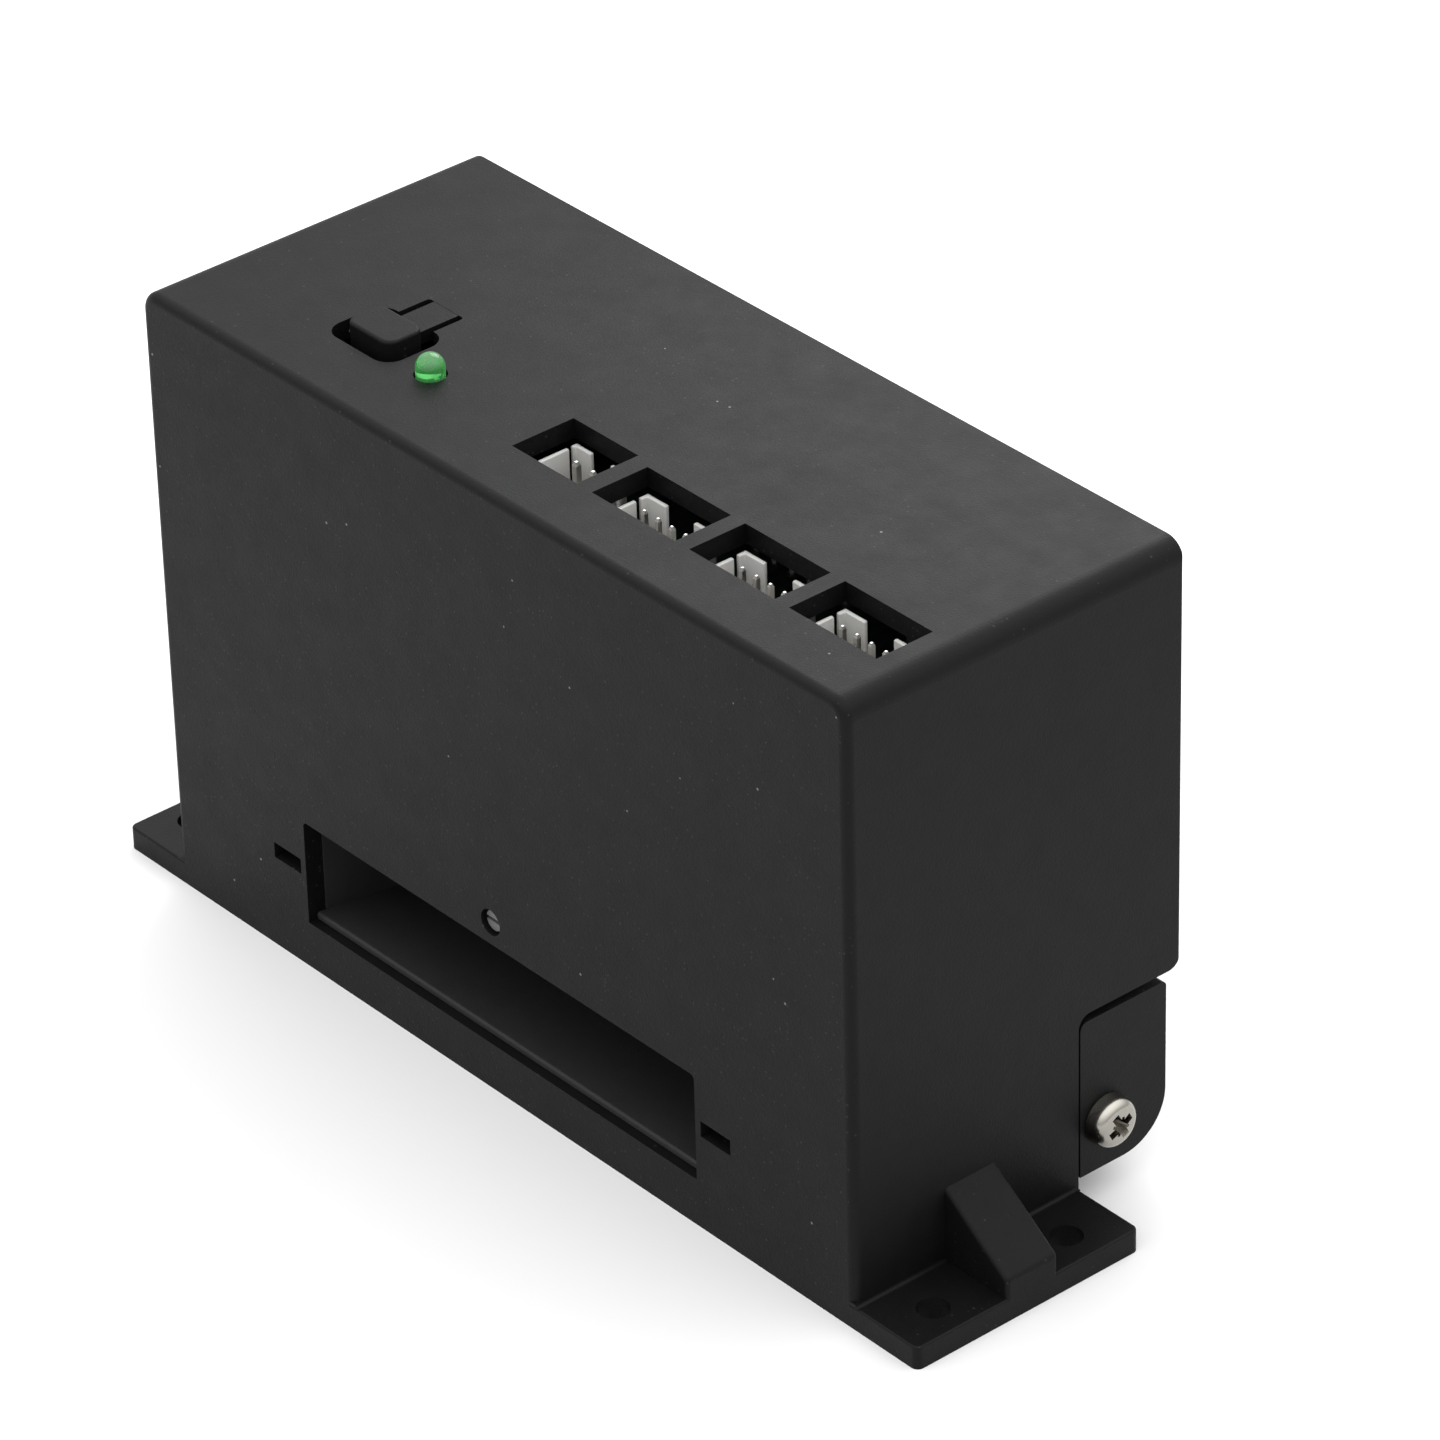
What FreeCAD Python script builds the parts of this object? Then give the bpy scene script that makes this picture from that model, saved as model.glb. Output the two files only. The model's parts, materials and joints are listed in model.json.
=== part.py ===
import FreeCAD, Part

import math
import os

# Stepper driver module: a flanged plastic case with a press tab, four plug windows and a rear wiring cover.
# Millimetres, +Z up. The origin is on the floor, at the middle of the whole object's footprint.
# X runs along the long front face, which looks towards -Y.
# Names ending in _X count from the case's left end, _XR from its right end and _Y from its front face.

V = FreeCAD.Vector

# --- Case ---
CASE_LENGTH = 105.0
CASE_DEPTH = 42.0
CASE_HEIGHT = 70.0
WALL = 2.2
TOP_WALL = 2.2
EDGE_ROUND = 1.0
SIDE_TOP_ROUND = 2.2
REAR_ROUND = 0.3
LOWER_DEPTH_Y = 28.75
NOTCH_TOP = 22.5
NOTCH_ROUND = 1.5

# --- Feet: one flange with a gusset at each end ---
FLANGE_REACH = 8.7
FLANGE_THICKNESS = 2.6
FLANGE_SHORT = 0.1
FLANGE_CORNER = 0.8
FLANGE_EDGE = 0.25
FOOT_HOLE_R = 1.7
FOOT_HOLE_OUT = 4.9
FOOT_HOLES_Y = (5.5, 22.6)
FOOT_FILLET = 0.4
GUSSET_Y = 11.45
GUSSET_WIDTH = 6.6
GUSSET_TOP = 11.0
GUSSET_TOE = 4.8
GUSSET_BEND = 0.8
GUSSET_EDGE = 0.5

# --- Clearances ---
SLIP = 0.15
SHAFT_GAP = 0.05
HINGE_GAP = 0.05
PRESS_GAP = 0.05
CUT = 1.0  # how far a cut runs past the face it opens

# --- Plug headers under the top windows ---
MOTOR_PITCH = 2.0
MOTOR_PIN = 0.5
MOTOR_PIN_COUNT = 4
MOTOR_HEADER = ((MOTOR_PIN_COUNT - 1) * MOTOR_PITCH + 3.9, 4.5, 6.0)
POWER_PITCH = 2.5
POWER_PIN = 0.64
POWER_PIN_COUNT = 2
POWER_HEADER = ((POWER_PIN_COUNT - 1) * POWER_PITCH + 4.9, 5.75, 6.0)
HEADER_WALL = 0.5
HEADER_FLOOR = 1.2
HEADER_SLOT_FLOOR = 2.0
MOTOR_TABS = (3.1, 2.75)
POWER_TABS = (2.6, 1.9)
MOTOR_END_SLOT = (1.2, 0.6)
POWER_END_SLOT = (0.8, 0.5)
HEADER_FRONT_Y = 8.87
HEADER_SINK = 2.0
PIN_SINK = 0.2
PIN_BACK = 2.1
PIN_TAPER = 0.6
PIN_POINT = 0.45
HEADER_PITCH = 14.12
LAST_HEADER_XR = 10.14
POWER_HEADER_STEP = 13.08
HEADER_AHEAD = 0.13  # the share of a header's extra depth that goes forward
WINDOW_SIDE = 1.1
WINDOW_FRONT_Y = 7.43
MOTOR_WINDOW_BACK = 0.95
POWER_WINDOW_BACK = 0.6

# --- Press tab in the top, and the switch under it ---
PAD_X = 20.38
PAD_Y = 9.61
PAD_LENGTH = 6.9
PAD_DEPTH = 4.65
PAD_ROUND = 1.3
PAD_EDGE = 0.35
PAD_RISE = 1.25
PAD_SLOT = 1.5
NECK_X = 21.97
NECK_WIDTH = 3.8
NECK_SLOT = 0.8
NECK_THICKNESS = 1.4
NECK_LAP = 1.0
ROOT_Y = 19.6
SWITCH_SIZE = 6.0
SWITCH_CORNER = 0.4
SWITCH_PEG = 0.9
SWITCH_PEG_PITCH = 4.4
SWITCH_PEG_LENGTH = 1.0
SWITCH_BASE = 3.1
SWITCH_COVER = 0.3
STEM_R = 1.0
PLUNGER_R = 1.7
PLUNGER_COLLAR = 0.35
PLUNGER_TRAVEL = 0.27
PLUNGER_DROP = 0.8
WELL_FLOOR = 1.6

# --- Status lamp ---
LED_X = 32.8
LED_Y = 10.36
LED_R = 1.5
LED_HEIGHT = 5.3
LED_PROUD = 2.3
LED_HOLE_R = 1.7
LED_RIM_R = 1.9
LED_RIM = 1.0
LED_LEAD = 0.5
LED_PITCH = 2.54

# --- Cable window in the front, its sill, and the trimmer hole above it ---
CABLE_WINDOW_OFFSET = -0.62
CABLE_WINDOW_LENGTH = 60.3
CABLE_WINDOW_BOTTOM = 5.45
CABLE_WINDOW_TOP = 17.6
CABLE_WINDOW_ROUND = 0.5
SILL_DEPTH = 11.7
SILL_NOSE = 1.2
SILL_STEP = 0.9
SILL_DROP = 1.8
SILL_EDGE = 0.3
CHEEK = 1.2
CLIP_SLOT = (4.35, 1.8)
CLIP_SLOT_Z = 11.83
CLIP_SLOT_STEP = 0.8
CLIP_NOSE = 0.3
TRIMMER_OFFSET = -0.94
TRIMMER_Z = 20.18
TRIMMER_HOLE_R = 1.45
TRIMMER_SHAFT_R = 1.15
TRIMMER_SINK = 0.5
TRIMMER_BODY = (6.5, 5.0)
TRIMMER_BORE = 2.5
TRIMMER_COLLAR = 0.7
TRIMMER_SLOT = (0.4, 0.7)

# --- Base plate and its screws ---
BASE_THICKNESS = 2.0
BOSS_R = 3.2
BOSS_INSET = 2.8
BOSS_HEIGHT = 12.0
BASE_SCREW_R = 1.25
BASE_SCREW_LENGTH = 8.0
BASE_HEAD_R = 2.3
BASE_HEAD = 1.1
BASE_RECESS = (2.2, 0.6, 0.9)

# --- Rear cover and its screws ---
COVER_GAP = 0.22
COVER_TOP_GAP = 0.9
COVER_RECESS = 1.8
COVER_BOTTOM = 3.7
COVER_WALL = 2.0
COVER_ROUND = 5.5
COVER_CORNER = 0.9
COVER_BACK_CORNER = 0.6
WIRE_EXIT_MARGIN = 4.0
WIRE_EXIT_DEPTH = 7.0
SIDE_SCREW_BACK = 3.5
SIDE_SCREW_Z = 9.35
SIDE_SCREW_R = 1.5
SIDE_HEAD_R = 2.78
SIDE_HEAD = 2.3
SIDE_RECESS = 3.0
SIDE_SCREW_LENGTH = 8.0
SIDE_BOSS = (7.0, 6.4, 6.6)
SIDE_BOSS_END = 0.6
INSERT_R = 2.1
INSERT_LENGTH = 5.0
INSERT_GAP = 0.01

# --- Boards ---
BOARD = 1.6
BOARD_CORNER = 1.0
BOARD_MARGIN = 0.5
INTERFACE_DEPTH = 21.8
POST_R = 2.4
POST_INSET = 6.5
POST_FRONT_Y = 6.0
POST_BEHIND = 0.6
SCREW_END_ROOM = 0.3
BOARD_SCREW_R = 1.0
BOARD_SCREW_LENGTH = 6.0
BOARD_RECESS = 2.2
BOARD_HEAD_R = 1.9
BOARD_HEAD = 1.3
POWER_BOARD_LENGTH = 86.0
POWER_BOARD_GAP = 2.7
POWER_BOARD_BOTTOM = 4.0
POWER_SCREW_SPAN = 76.0
POWER_SCREW_Z = (7.5, 20.0)
POWER_SCREW_LENGTH = 5.6
LINK_PINS = 8
LINK_OFFSET = 20.0
LINK_PITCH = 2.54
LINK_BLOCK = 2.5
LINK_PIN = 0.64
PIN_HOLE_R = 0.55
PIN_TAIL = 1.2
LINK_TAIL = 1.0

# --- Parts on the power board ---
CHIP = (7.0, 7.0, 1.0)
CHIP_PITCH = 28.0
HEATSINK = (9.0, 9.0, 5.0)
HEATSINK_FOOT = 1.2
FIN_COUNT = 4
FIN = 0.9
CAPACITOR_R = 6.25
CAPACITOR_HEIGHT = 13.5
CAPACITOR_EDGE = 0.6
CAPACITOR_CRIMP = (0.7, 2.2)
CAPACITOR_PITCH = 24.0
CONTROLLER = (7.0, 7.0, 1.4)
CONTROLLER_OFFSET = 22.0
CRYSTAL = (11.0, 4.5, 3.5)
CRYSTAL_OFFSET = 34.0
REGULATOR = (6.5, 3.5, 1.7)
REGULATOR_OFFSET = -22.0
INDUCTOR = (7.3, 7.3, 4.2)
INDUCTOR_OFFSET = -34.0
INDUCTOR_CORNER = 1.2
CONTROL_PINS = 10
CONTROL_PITCH = 2.54
CONTROL_PIN = 0.64
CONTROL_HEADER = (33.0, 8.8, 9.0)
CONTROL_WALL = 1.2
CONTROL_FLOOR = 2.6
CONTROL_PIN_SINK = 2.0
CONTROL_KEY = 4.5
CONTROL_Z = 11.6
TERMINAL_POLES = 4
TERMINAL_OFFSET = 24.0
TERMINAL_PITCH = 5.08
TERMINAL_HEIGHT = 10.0
TERMINAL_DEPTH = 12.0
TERMINAL_BOTTOM = 5.8
TERMINAL_SCREW_R = 1.7
TERMINAL_SCREW_SINK = 0.8
TERMINAL_SCREW_HEAD = 2.2
TERMINAL_SHANK_R = 1.1
TERMINAL_WELL = 5.0
TERMINAL_WIRE_HOLE = (3.6, 4.0)
TERMINAL_ROOF = 2.0
CLAMP = (3.4, 3.3)
CLAMP_BORE = (2.2, 2.1)

# --- Places worked out from the sizes above ---
LEFT = -CASE_LENGTH / 2
RIGHT = CASE_LENGTH / 2
FRONT = -CASE_DEPTH / 2
REAR = CASE_DEPTH / 2
IN_LEFT = LEFT + WALL
IN_RIGHT = RIGHT - WALL
IN_FRONT = FRONT + WALL
UNDER_TOP = CASE_HEIGHT - TOP_WALL
NOTCH_FACE = FRONT + LOWER_DEPTH_Y
IN_NOTCH = NOTCH_FACE - WALL
SHELF_TOP = NOTCH_TOP + WALL
BOARD_TOP = CASE_HEIGHT - HEADER_SINK - MOTOR_HEADER[2]
BOARD_UNDER = BOARD_TOP - BOARD
POWER_BACK = IN_NOTCH - POWER_BOARD_GAP
POWER_FACE = POWER_BACK - BOARD
POWER_TOP = BOARD_UNDER - BOARD_HEAD - 2 * SLIP
TRIMMER_HIGH = TRIMMER_Z + TRIMMER_BODY[0] / 2
ROW_GAP = (POWER_TOP - LINK_BLOCK - TRIMMER_HIGH - INDUCTOR[1] - HEATSINK[1]) / 3
LOGIC_Z = TRIMMER_HIGH + ROW_GAP + INDUCTOR[1] / 2
CHIP_Z = LOGIC_Z + INDUCTOR[1] / 2 + ROW_GAP + HEATSINK[1] / 2
CAPACITOR_Z = (SHELF_TOP + POWER_TOP) / 2
HEADER_FRONT = FRONT + HEADER_FRONT_Y
POST_REAR = HEADER_FRONT + MOTOR_HEADER[1] + POST_BEHIND + POST_R
LAST_HEADER = RIGHT - LAST_HEADER_XR
MOTOR_HEADERS = [LAST_HEADER - HEADER_PITCH * n for n in (2, 1, 0)]
POWER_HEADER_AT = MOTOR_HEADERS[0] - POWER_HEADER_STEP
ROOT = FRONT + ROOT_Y
PAD_MID = (LEFT + PAD_X + PAD_LENGTH / 2, FRONT + PAD_Y + PAD_DEPTH / 2)
LED_AT = (LEFT + LED_X, FRONT + LED_Y)
LED_BASE = CASE_HEIGHT + LED_PROUD - LED_HEIGHT
PLUNGER_TOP = UNDER_TOP - PLUNGER_DROP
STEM_END = PLUNGER_TOP + PRESS_GAP
WINDOW_LOW = CABLE_WINDOW_OFFSET - CABLE_WINDOW_LENGTH / 2
WINDOW_HIGH = CABLE_WINDOW_OFFSET + CABLE_WINDOW_LENGTH / 2
COVER_FACE = REAR - COVER_RECESS
COVER_TOP = NOTCH_TOP - COVER_TOP_GAP
COVER_FRONT = NOTCH_FACE + COVER_GAP
SIDE_SCREW_AT = NOTCH_FACE + SIDE_SCREW_BACK
FLANGE_DEPTH = LOWER_DEPTH_Y - FLANGE_SHORT
SIDE_BOSS_FACE = CASE_LENGTH / 2 - WALL - SLIP
SILL_BACK = IN_FRONT + SILL_DEPTH
SILL_TOP = CABLE_WINDOW_BOTTOM + SILL_STEP
BOSSES = [
    (x, y)
    for x in (IN_LEFT + BOSS_INSET, IN_RIGHT - BOSS_INSET)
    for y in (IN_FRONT + BOSS_INSET, IN_NOTCH - BOSS_INSET)
]
POSTS = [
    (LEFT + POST_INSET, FRONT + POST_FRONT_Y),
    (LEFT + POST_INSET, POST_REAR),
    (POWER_HEADER_AT - POWER_HEADER[0] / 2 - POST_INSET, POST_REAR),
    (RIGHT - POST_INSET, POST_REAR),
]
POWER_SCREWS = [(x, z) for x in (-POWER_SCREW_SPAN / 2, POWER_SCREW_SPAN / 2) for z in POWER_SCREW_Z]
TERMINAL_LENGTH = TERMINAL_POLES * TERMINAL_PITCH
POLES = [TERMINAL_OFFSET + TERMINAL_PITCH * (n - (TERMINAL_POLES - 1) / 2) for n in range(TERMINAL_POLES)]


# --- Shape helpers ---
def at(axis, u, v, w):
    """The point at w along an axis, with u and v on the other two axes, in X, Y, Z order."""
    return {"x": V(w, u, v), "y": V(u, w, v), "z": V(u, v, w)}[axis]


def block(x, y, z):
    """A box between (low, high) pairs."""
    return Part.makeBox(x[1] - x[0], y[1] - y[0], z[1] - z[0], V(x[0], y[0], z[0]))


def around(mid, size):
    """The (low, high) pair of a size centred on mid."""
    return (mid - size / 2, mid + size / 2)


def rod(axis, u, v, ends, radius, end_radius=None):
    """A round bar along an axis between two ends, or a cone if it ends with another radius."""
    base = at(axis, u, v, ends[0])
    direction = at(axis, 0, 0, ends[1] - ends[0])
    if end_radius is None:
        return Part.makeCylinder(radius, direction.Length, base, direction)
    return Part.makeCone(radius, end_radius, direction.Length, base, direction)


def plate(corners, axis, ends):
    """A prism along an axis. Each corner is (u, v, radius), and a radius of 0 leaves it sharp."""
    points = [at(axis, u, v, ends[0]) for u, v, _ in corners]
    edges = []
    arrivals = []
    departures = []
    for n, (_, _, radius) in enumerate(corners):
        corner = points[n]
        back = (points[n - 1] - corner).normalize()
        ahead = (points[(n + 1) % len(points)] - corner).normalize()
        half = back.getAngle(ahead) / 2
        reach = radius / math.tan(half)
        arrivals.append(corner + back * reach)
        departures.append(corner + ahead * reach)
        if radius:
            inward = (back + ahead).normalize()
            crown = corner + inward * (radius / math.sin(half) - radius)
            edges.append(Part.Arc(arrivals[n], crown, departures[n]).toShape())
    for n, departure in enumerate(departures):
        arrival = arrivals[(n + 1) % len(points)]
        if (arrival - departure).Length > 1e-6:
            edges.append(Part.makeLine(departure, arrival))
    face = Part.Face(Part.Wire(Part.__sortEdges__(edges)))
    return face.extrude(at(axis, 0, 0, ends[1] - ends[0]))


def slab(x, y, z, radius):
    """A box between (low, high) pairs whose four upright edges are rounded."""
    corners = ((x[0], y[0]), (x[1], y[0]), (x[1], y[1]), (x[0], y[1]))
    return plate([(u, v, radius) for u, v in corners], "z", z)


def straight_edges(shape, axis, **place):
    """The shape's straight edges along an axis that lie at the given places on the other axes."""
    found = []
    for edge in shape.Edges:
        start, end = edge.Vertexes[0].Point, edge.Vertexes[-1].Point
        along = abs(getattr(end - start, axis))
        if edge.Curve.TypeId != "Part::GeomLine" or along < 0.999 * edge.Length:
            continue
        if all(abs(getattr(start, name) - value) < 1e-4 for name, value in place.items()):
            found.append(edge)
    return found


def joined(shapes):
    """One solid from pieces that touch or overlap."""
    return shapes[0].multiFuse(shapes[1:]).removeSplitter()


def cross_recess(axis, u, v, ends, width, bar):
    """The two crossed blocks that cut a screw's recess along an axis."""
    blocks = []
    for across, up in ((width, bar), (bar, width)):
        corners = [(u + i * across / 2, v + j * up / 2, 0) for i, j in ((-1, -1), (1, -1), (1, 1), (-1, 1))]
        blocks.append(plate(corners, axis, ends))
    return blocks


def screw(axis, u, v, seat, tip, shank_r, head_r, head, recess):
    """A pan-head screw with a cross recess: its head sits on seat and its shank runs to tip."""
    top = seat + math.copysign(head, seat - tip)
    dome = rod(axis, u, v, (seat, top), head_r)
    along = at(axis, 0, 0, 1)
    rim = [edge for edge in dome.Edges if edge.Closed and abs(edge.CenterOfMass.dot(along) - top) < 1e-4]
    dome = dome.makeFillet(head * 0.5, rim)
    floor = top + math.copysign(head * 0.65, tip - seat)
    dome = dome.cut(cross_recess(axis, u, v, (floor, top), recess, head_r * 0.3))
    return dome.fuse(rod(axis, u, v, (seat, tip), shank_r)).removeSplitter()


def pin(axis, u, v, ends, width):
    """A square pin whose far end is pointed."""
    taper = width * PIN_TAPER
    sign = 1 if ends[1] > ends[0] else -1
    shoulder = ends[1] - sign * taper
    corners = [(u + i * width / 2, v + j * width / 2, 0) for i, j in ((-1, -1), (1, -1), (1, 1), (-1, 1))]
    shank = plate(corners, axis, (ends[0], shoulder))
    wires = []
    for place, scale in ((shoulder, 1.0), (ends[1], PIN_POINT)):
        points = [at(axis, u + (a - u) * scale, v + (b - v) * scale, place) for a, b, _ in corners]
        wires.append(Part.makePolygon(points + points[:1]))
    return shank.fuse(Part.makeLoft(wires, True, True)).removeSplitter()


# --- Case ---
def case_outline(inset, floor):
    """The case's side outline, (y, z, radius), moved inwards by inset, with the lower rear stepped in."""
    lower = NOTCH_FACE - inset
    shelf = NOTCH_TOP + inset
    outer = inset == 0
    return [
        (FRONT + inset, floor, 0),
        (lower, floor, 0),
        (lower, shelf, NOTCH_ROUND if outer else 0),
        (REAR - inset, shelf, NOTCH_ROUND if outer else 0),
        (REAR - inset, CASE_HEIGHT - (TOP_WALL if inset else 0), 0),
        (FRONT + inset, CASE_HEIGHT - (TOP_WALL if inset else 0), 0),
    ]


def case_body():
    """The hollow case, open below, with rounded outer edges."""
    front_view = [
        (LEFT, 0, 0),
        (LEFT, CASE_HEIGHT, SIDE_TOP_ROUND),
        (RIGHT, CASE_HEIGHT, SIDE_TOP_ROUND),
        (RIGHT, 0, 0),
    ]
    top_view = [(LEFT, FRONT, 0), (RIGHT, FRONT, 0), (RIGHT, REAR, REAR_ROUND), (LEFT, REAR, REAR_ROUND)]
    body = plate(case_outline(0, 0), "x", (LEFT, RIGHT))
    body = body.common(plate(front_view, "y", (FRONT, REAR)))
    body = body.common(plate(top_view, "z", (0, CASE_HEIGHT)))
    body = body.makeFillet(EDGE_ROUND, straight_edges(body, "x", y=FRONT, z=CASE_HEIGHT))
    return body.cut(plate(case_outline(WALL, -CUT), "x", (IN_LEFT, IN_RIGHT)))


def gusset_edges(gusset):
    """The two edges down a gusset's slope."""
    outside = [edge for edge in gusset.Edges if abs(edge.CenterOfMass.x) > CASE_LENGTH / 2]
    slope = [edge for edge in outside if edge.CenterOfMass.z > GUSSET_TOE + GUSSET_BEND]
    return [edge for edge in slope if abs(edge.Vertexes[0].Y - edge.Vertexes[-1].Y) < 1e-4]


def foot(side):
    """One flange with its gusset and the fillet at the wall. side is -1 for left and 1 for right."""
    wall = side * CASE_LENGTH / 2
    tip = side * (CASE_LENGTH / 2 + FLANGE_REACH)
    root = wall - side * WALL / 2
    back = FRONT + FLANGE_DEPTH
    flange = plate(
        [(root, FRONT, 0), (tip, FRONT, FLANGE_CORNER), (tip, back, FLANGE_CORNER), (root, back, 0)],
        "z",
        (0, FLANGE_THICKNESS),
    )
    edges = straight_edges(flange, "y", x=tip, z=FLANGE_THICKNESS)
    flange = flange.makeFillet(FLANGE_EDGE, edges)
    gusset_y = (FRONT + GUSSET_Y, FRONT + GUSSET_Y + GUSSET_WIDTH)
    gusset = plate(
        [
            (root, 0, 0),
            (tip, 0, 0),
            (tip, GUSSET_TOE, GUSSET_BEND),
            (wall, GUSSET_TOP, 0),
            (root, GUSSET_TOP, 0),
        ],
        "y",
        gusset_y,
    )
    gusset = gusset.makeFillet(GUSSET_EDGE, gusset_edges(gusset))
    strip = FOOT_FILLET
    crest = FLANGE_THICKNESS + strip
    fillet = block(sorted((root, wall + side * strip)), (FRONT, back), (FLANGE_THICKNESS, crest))
    fillet = fillet.cut(rod("y", wall + side * strip, crest, (FRONT - CUT, back + CUT), strip))
    holes = [
        rod("z", wall + side * FOOT_HOLE_OUT, FRONT + y, (-CUT, FLANGE_THICKNESS + CUT), FOOT_HOLE_R)
        for y in FOOT_HOLES_Y
    ]
    return joined([flange, gusset, fillet]).cut(holes)


def side_boss(side):
    """The block behind each of the rear cover's ears that holds a brass insert."""
    width, depth, height = SIDE_BOSS
    face = side * SIDE_BOSS_FACE
    x = sorted((face, face - side * width))
    shape = block(x, (NOTCH_FACE - WALL / 2, NOTCH_FACE + depth), around(SIDE_SCREW_Z, height))
    bore = rod("x", SIDE_SCREW_AT, SIDE_SCREW_Z, (face + side * CUT, face - side * INSERT_LENGTH), INSERT_R)
    relief_x = (face, face - side * (width - SIDE_BOSS_END))
    relief = rod("x", SIDE_SCREW_AT, SIDE_SCREW_Z, relief_x, SIDE_SCREW_R + SHAFT_GAP)
    return shape, [bore, relief]


def header_places():
    """Each header as its middle along X, its size, and the room behind it in its window."""
    places = [(POWER_HEADER_AT, POWER_HEADER, POWER_WINDOW_BACK)]
    return places + [(x, MOTOR_HEADER, MOTOR_WINDOW_BACK) for x in MOTOR_HEADERS]


def top_openings():
    """What is cut through the top: plug windows, the press tab's slots and the lamp's stepped hole."""
    z = (UNDER_TOP - CUT, CASE_HEIGHT + CUT)
    cuts = []
    for middle, header, back in header_places():
        y = (FRONT + WINDOW_FRONT_Y, header_y(header)[1] + back)
        cuts.append(block(around(middle, header[0] + 2 * WINDOW_SIDE), y, z))
    pad_x = (LEFT + PAD_X - PAD_SLOT, LEFT + PAD_X + PAD_LENGTH + PAD_SLOT)
    pad_y = (FRONT + PAD_Y - PAD_SLOT, FRONT + PAD_Y + PAD_DEPTH + PAD_SLOT)
    cuts.append(slab(pad_x, pad_y, z, PAD_ROUND + PAD_SLOT / 2))
    neck = (LEFT + NECK_X, LEFT + NECK_X + NECK_WIDTH)
    run = (pad_y[1] - NECK_LAP, ROOT)
    for x in ((neck[0] - NECK_SLOT, neck[0]), (neck[1], neck[1] + NECK_SLOT)):
        cuts.append(slab(x, run, z, NECK_SLOT * 0.49))
    cuts.append(block((neck[0] - NECK_SLOT / 2, neck[1] + NECK_SLOT / 2), run, z))
    cuts.append(rod("z", *LED_AT, z, LED_HOLE_R))
    cuts.append(rod("z", *LED_AT, (z[0], LED_BASE + LED_RIM + SLIP), LED_RIM_R + SLIP))
    return cuts


def front_openings():
    """What is cut through the front: the cable window, the sill's clip slots and the trimmer hole."""
    y = (FRONT - CUT, IN_FRONT + CUT)
    corners = [
        (WINDOW_LOW, CABLE_WINDOW_BOTTOM, 0),
        (WINDOW_HIGH, CABLE_WINDOW_BOTTOM, 0),
        (WINDOW_HIGH, CABLE_WINDOW_TOP, CABLE_WINDOW_ROUND),
        (WINDOW_LOW, CABLE_WINDOW_TOP, CABLE_WINDOW_ROUND),
    ]
    cuts = [plate(corners, "y", y)]
    for x in clip_slots():
        cuts.append(block(x, y, around(CLIP_SLOT_Z, CLIP_SLOT[1])))
    cuts.append(rod("y", TRIMMER_OFFSET, TRIMMER_Z, y, TRIMMER_HOLE_R))
    return cuts


def clip_slots():
    """The (low, high) of each clip slot along X."""
    return [
        (WINDOW_LOW - CLIP_SLOT_STEP - CLIP_SLOT[0], WINDOW_LOW - CLIP_SLOT_STEP),
        (WINDOW_HIGH + CLIP_SLOT_STEP, WINDOW_HIGH + CLIP_SLOT_STEP + CLIP_SLOT[0]),
    ]


def terminal_opening():
    """The hole in the lower rear wall that the terminal block passes through."""
    x = around(TERMINAL_OFFSET, TERMINAL_LENGTH + 4 * SLIP)
    z = (TERMINAL_BOTTOM - 2 * SLIP, TERMINAL_BOTTOM + TERMINAL_HEIGHT + 2 * SLIP)
    return block(x, (IN_NOTCH - CUT, NOTCH_FACE + CUT), z)


def housing_shell():
    """The case with its feet, screw bosses, board posts and openings."""
    solids = [case_body(), foot(-1), foot(1)]
    cuts = top_openings() + front_openings() + [terminal_opening()]
    for side in (-1, 1):
        boss, bores = side_boss(side)
        solids.append(boss)
        cuts += bores
    for x, y in BOSSES:
        solids.append(rod("z", x, y, (BASE_THICKNESS, BOSS_HEIGHT), BOSS_R))
        cuts.append(rod("z", x, y, (0, BASE_SCREW_LENGTH + SCREW_END_ROOM), BASE_SCREW_R + SHAFT_GAP))
    for x, y in POSTS:
        solids.append(rod("z", x, y, (BOARD_TOP, UNDER_TOP + TOP_WALL / 2), POST_R))
        bore = (BOARD_TOP - CUT, BOARD_UNDER + BOARD_SCREW_LENGTH + SCREW_END_ROOM)
        cuts.append(rod("z", x, y, bore, BOARD_SCREW_R + SHAFT_GAP))
    for x, z in POWER_SCREWS:
        solids.append(rod("y", x, z, (POWER_BACK, IN_NOTCH + WALL / 2), POST_R))
        bore = (POWER_BACK - CUT, POWER_FACE + POWER_SCREW_LENGTH + SCREW_END_ROOM)
        cuts.append(rod("y", x, z, bore, BOARD_SCREW_R + SHAFT_GAP))
    return joined(solids).cut(cuts)


def base_plate():
    """The plate that closes the case from below, countersunk for its screws."""
    x = (IN_LEFT + SLIP, IN_RIGHT - SLIP)
    y = (IN_FRONT + SLIP, IN_NOTCH - SLIP)
    shape = block(x, y, (0, BASE_THICKNESS))
    for u, v in BOSSES:
        shape = shape.cut(rod("z", u, v, (-CUT, BASE_THICKNESS + CUT), BASE_SCREW_R + SLIP))
        shape = shape.cut(rod("z", u, v, (0, BASE_HEAD), BASE_HEAD_R + SHAFT_GAP, BASE_SCREW_R + SLIP))
    return shape


def base_screw(x, y):
    """A countersunk screw with a cross recess, a little below the underside."""
    head = rod("z", x, y, (SHAFT_GAP, BASE_HEAD - SHAFT_GAP), BASE_HEAD_R - SLIP, BASE_SCREW_R)
    shape = head.fuse(rod("z", x, y, (BASE_HEAD / 2, BASE_SCREW_LENGTH), BASE_SCREW_R)).removeSplitter()
    width, bar, depth = BASE_RECESS
    return shape.cut(cross_recess("z", x, y, (0, depth), width, bar))


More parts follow.
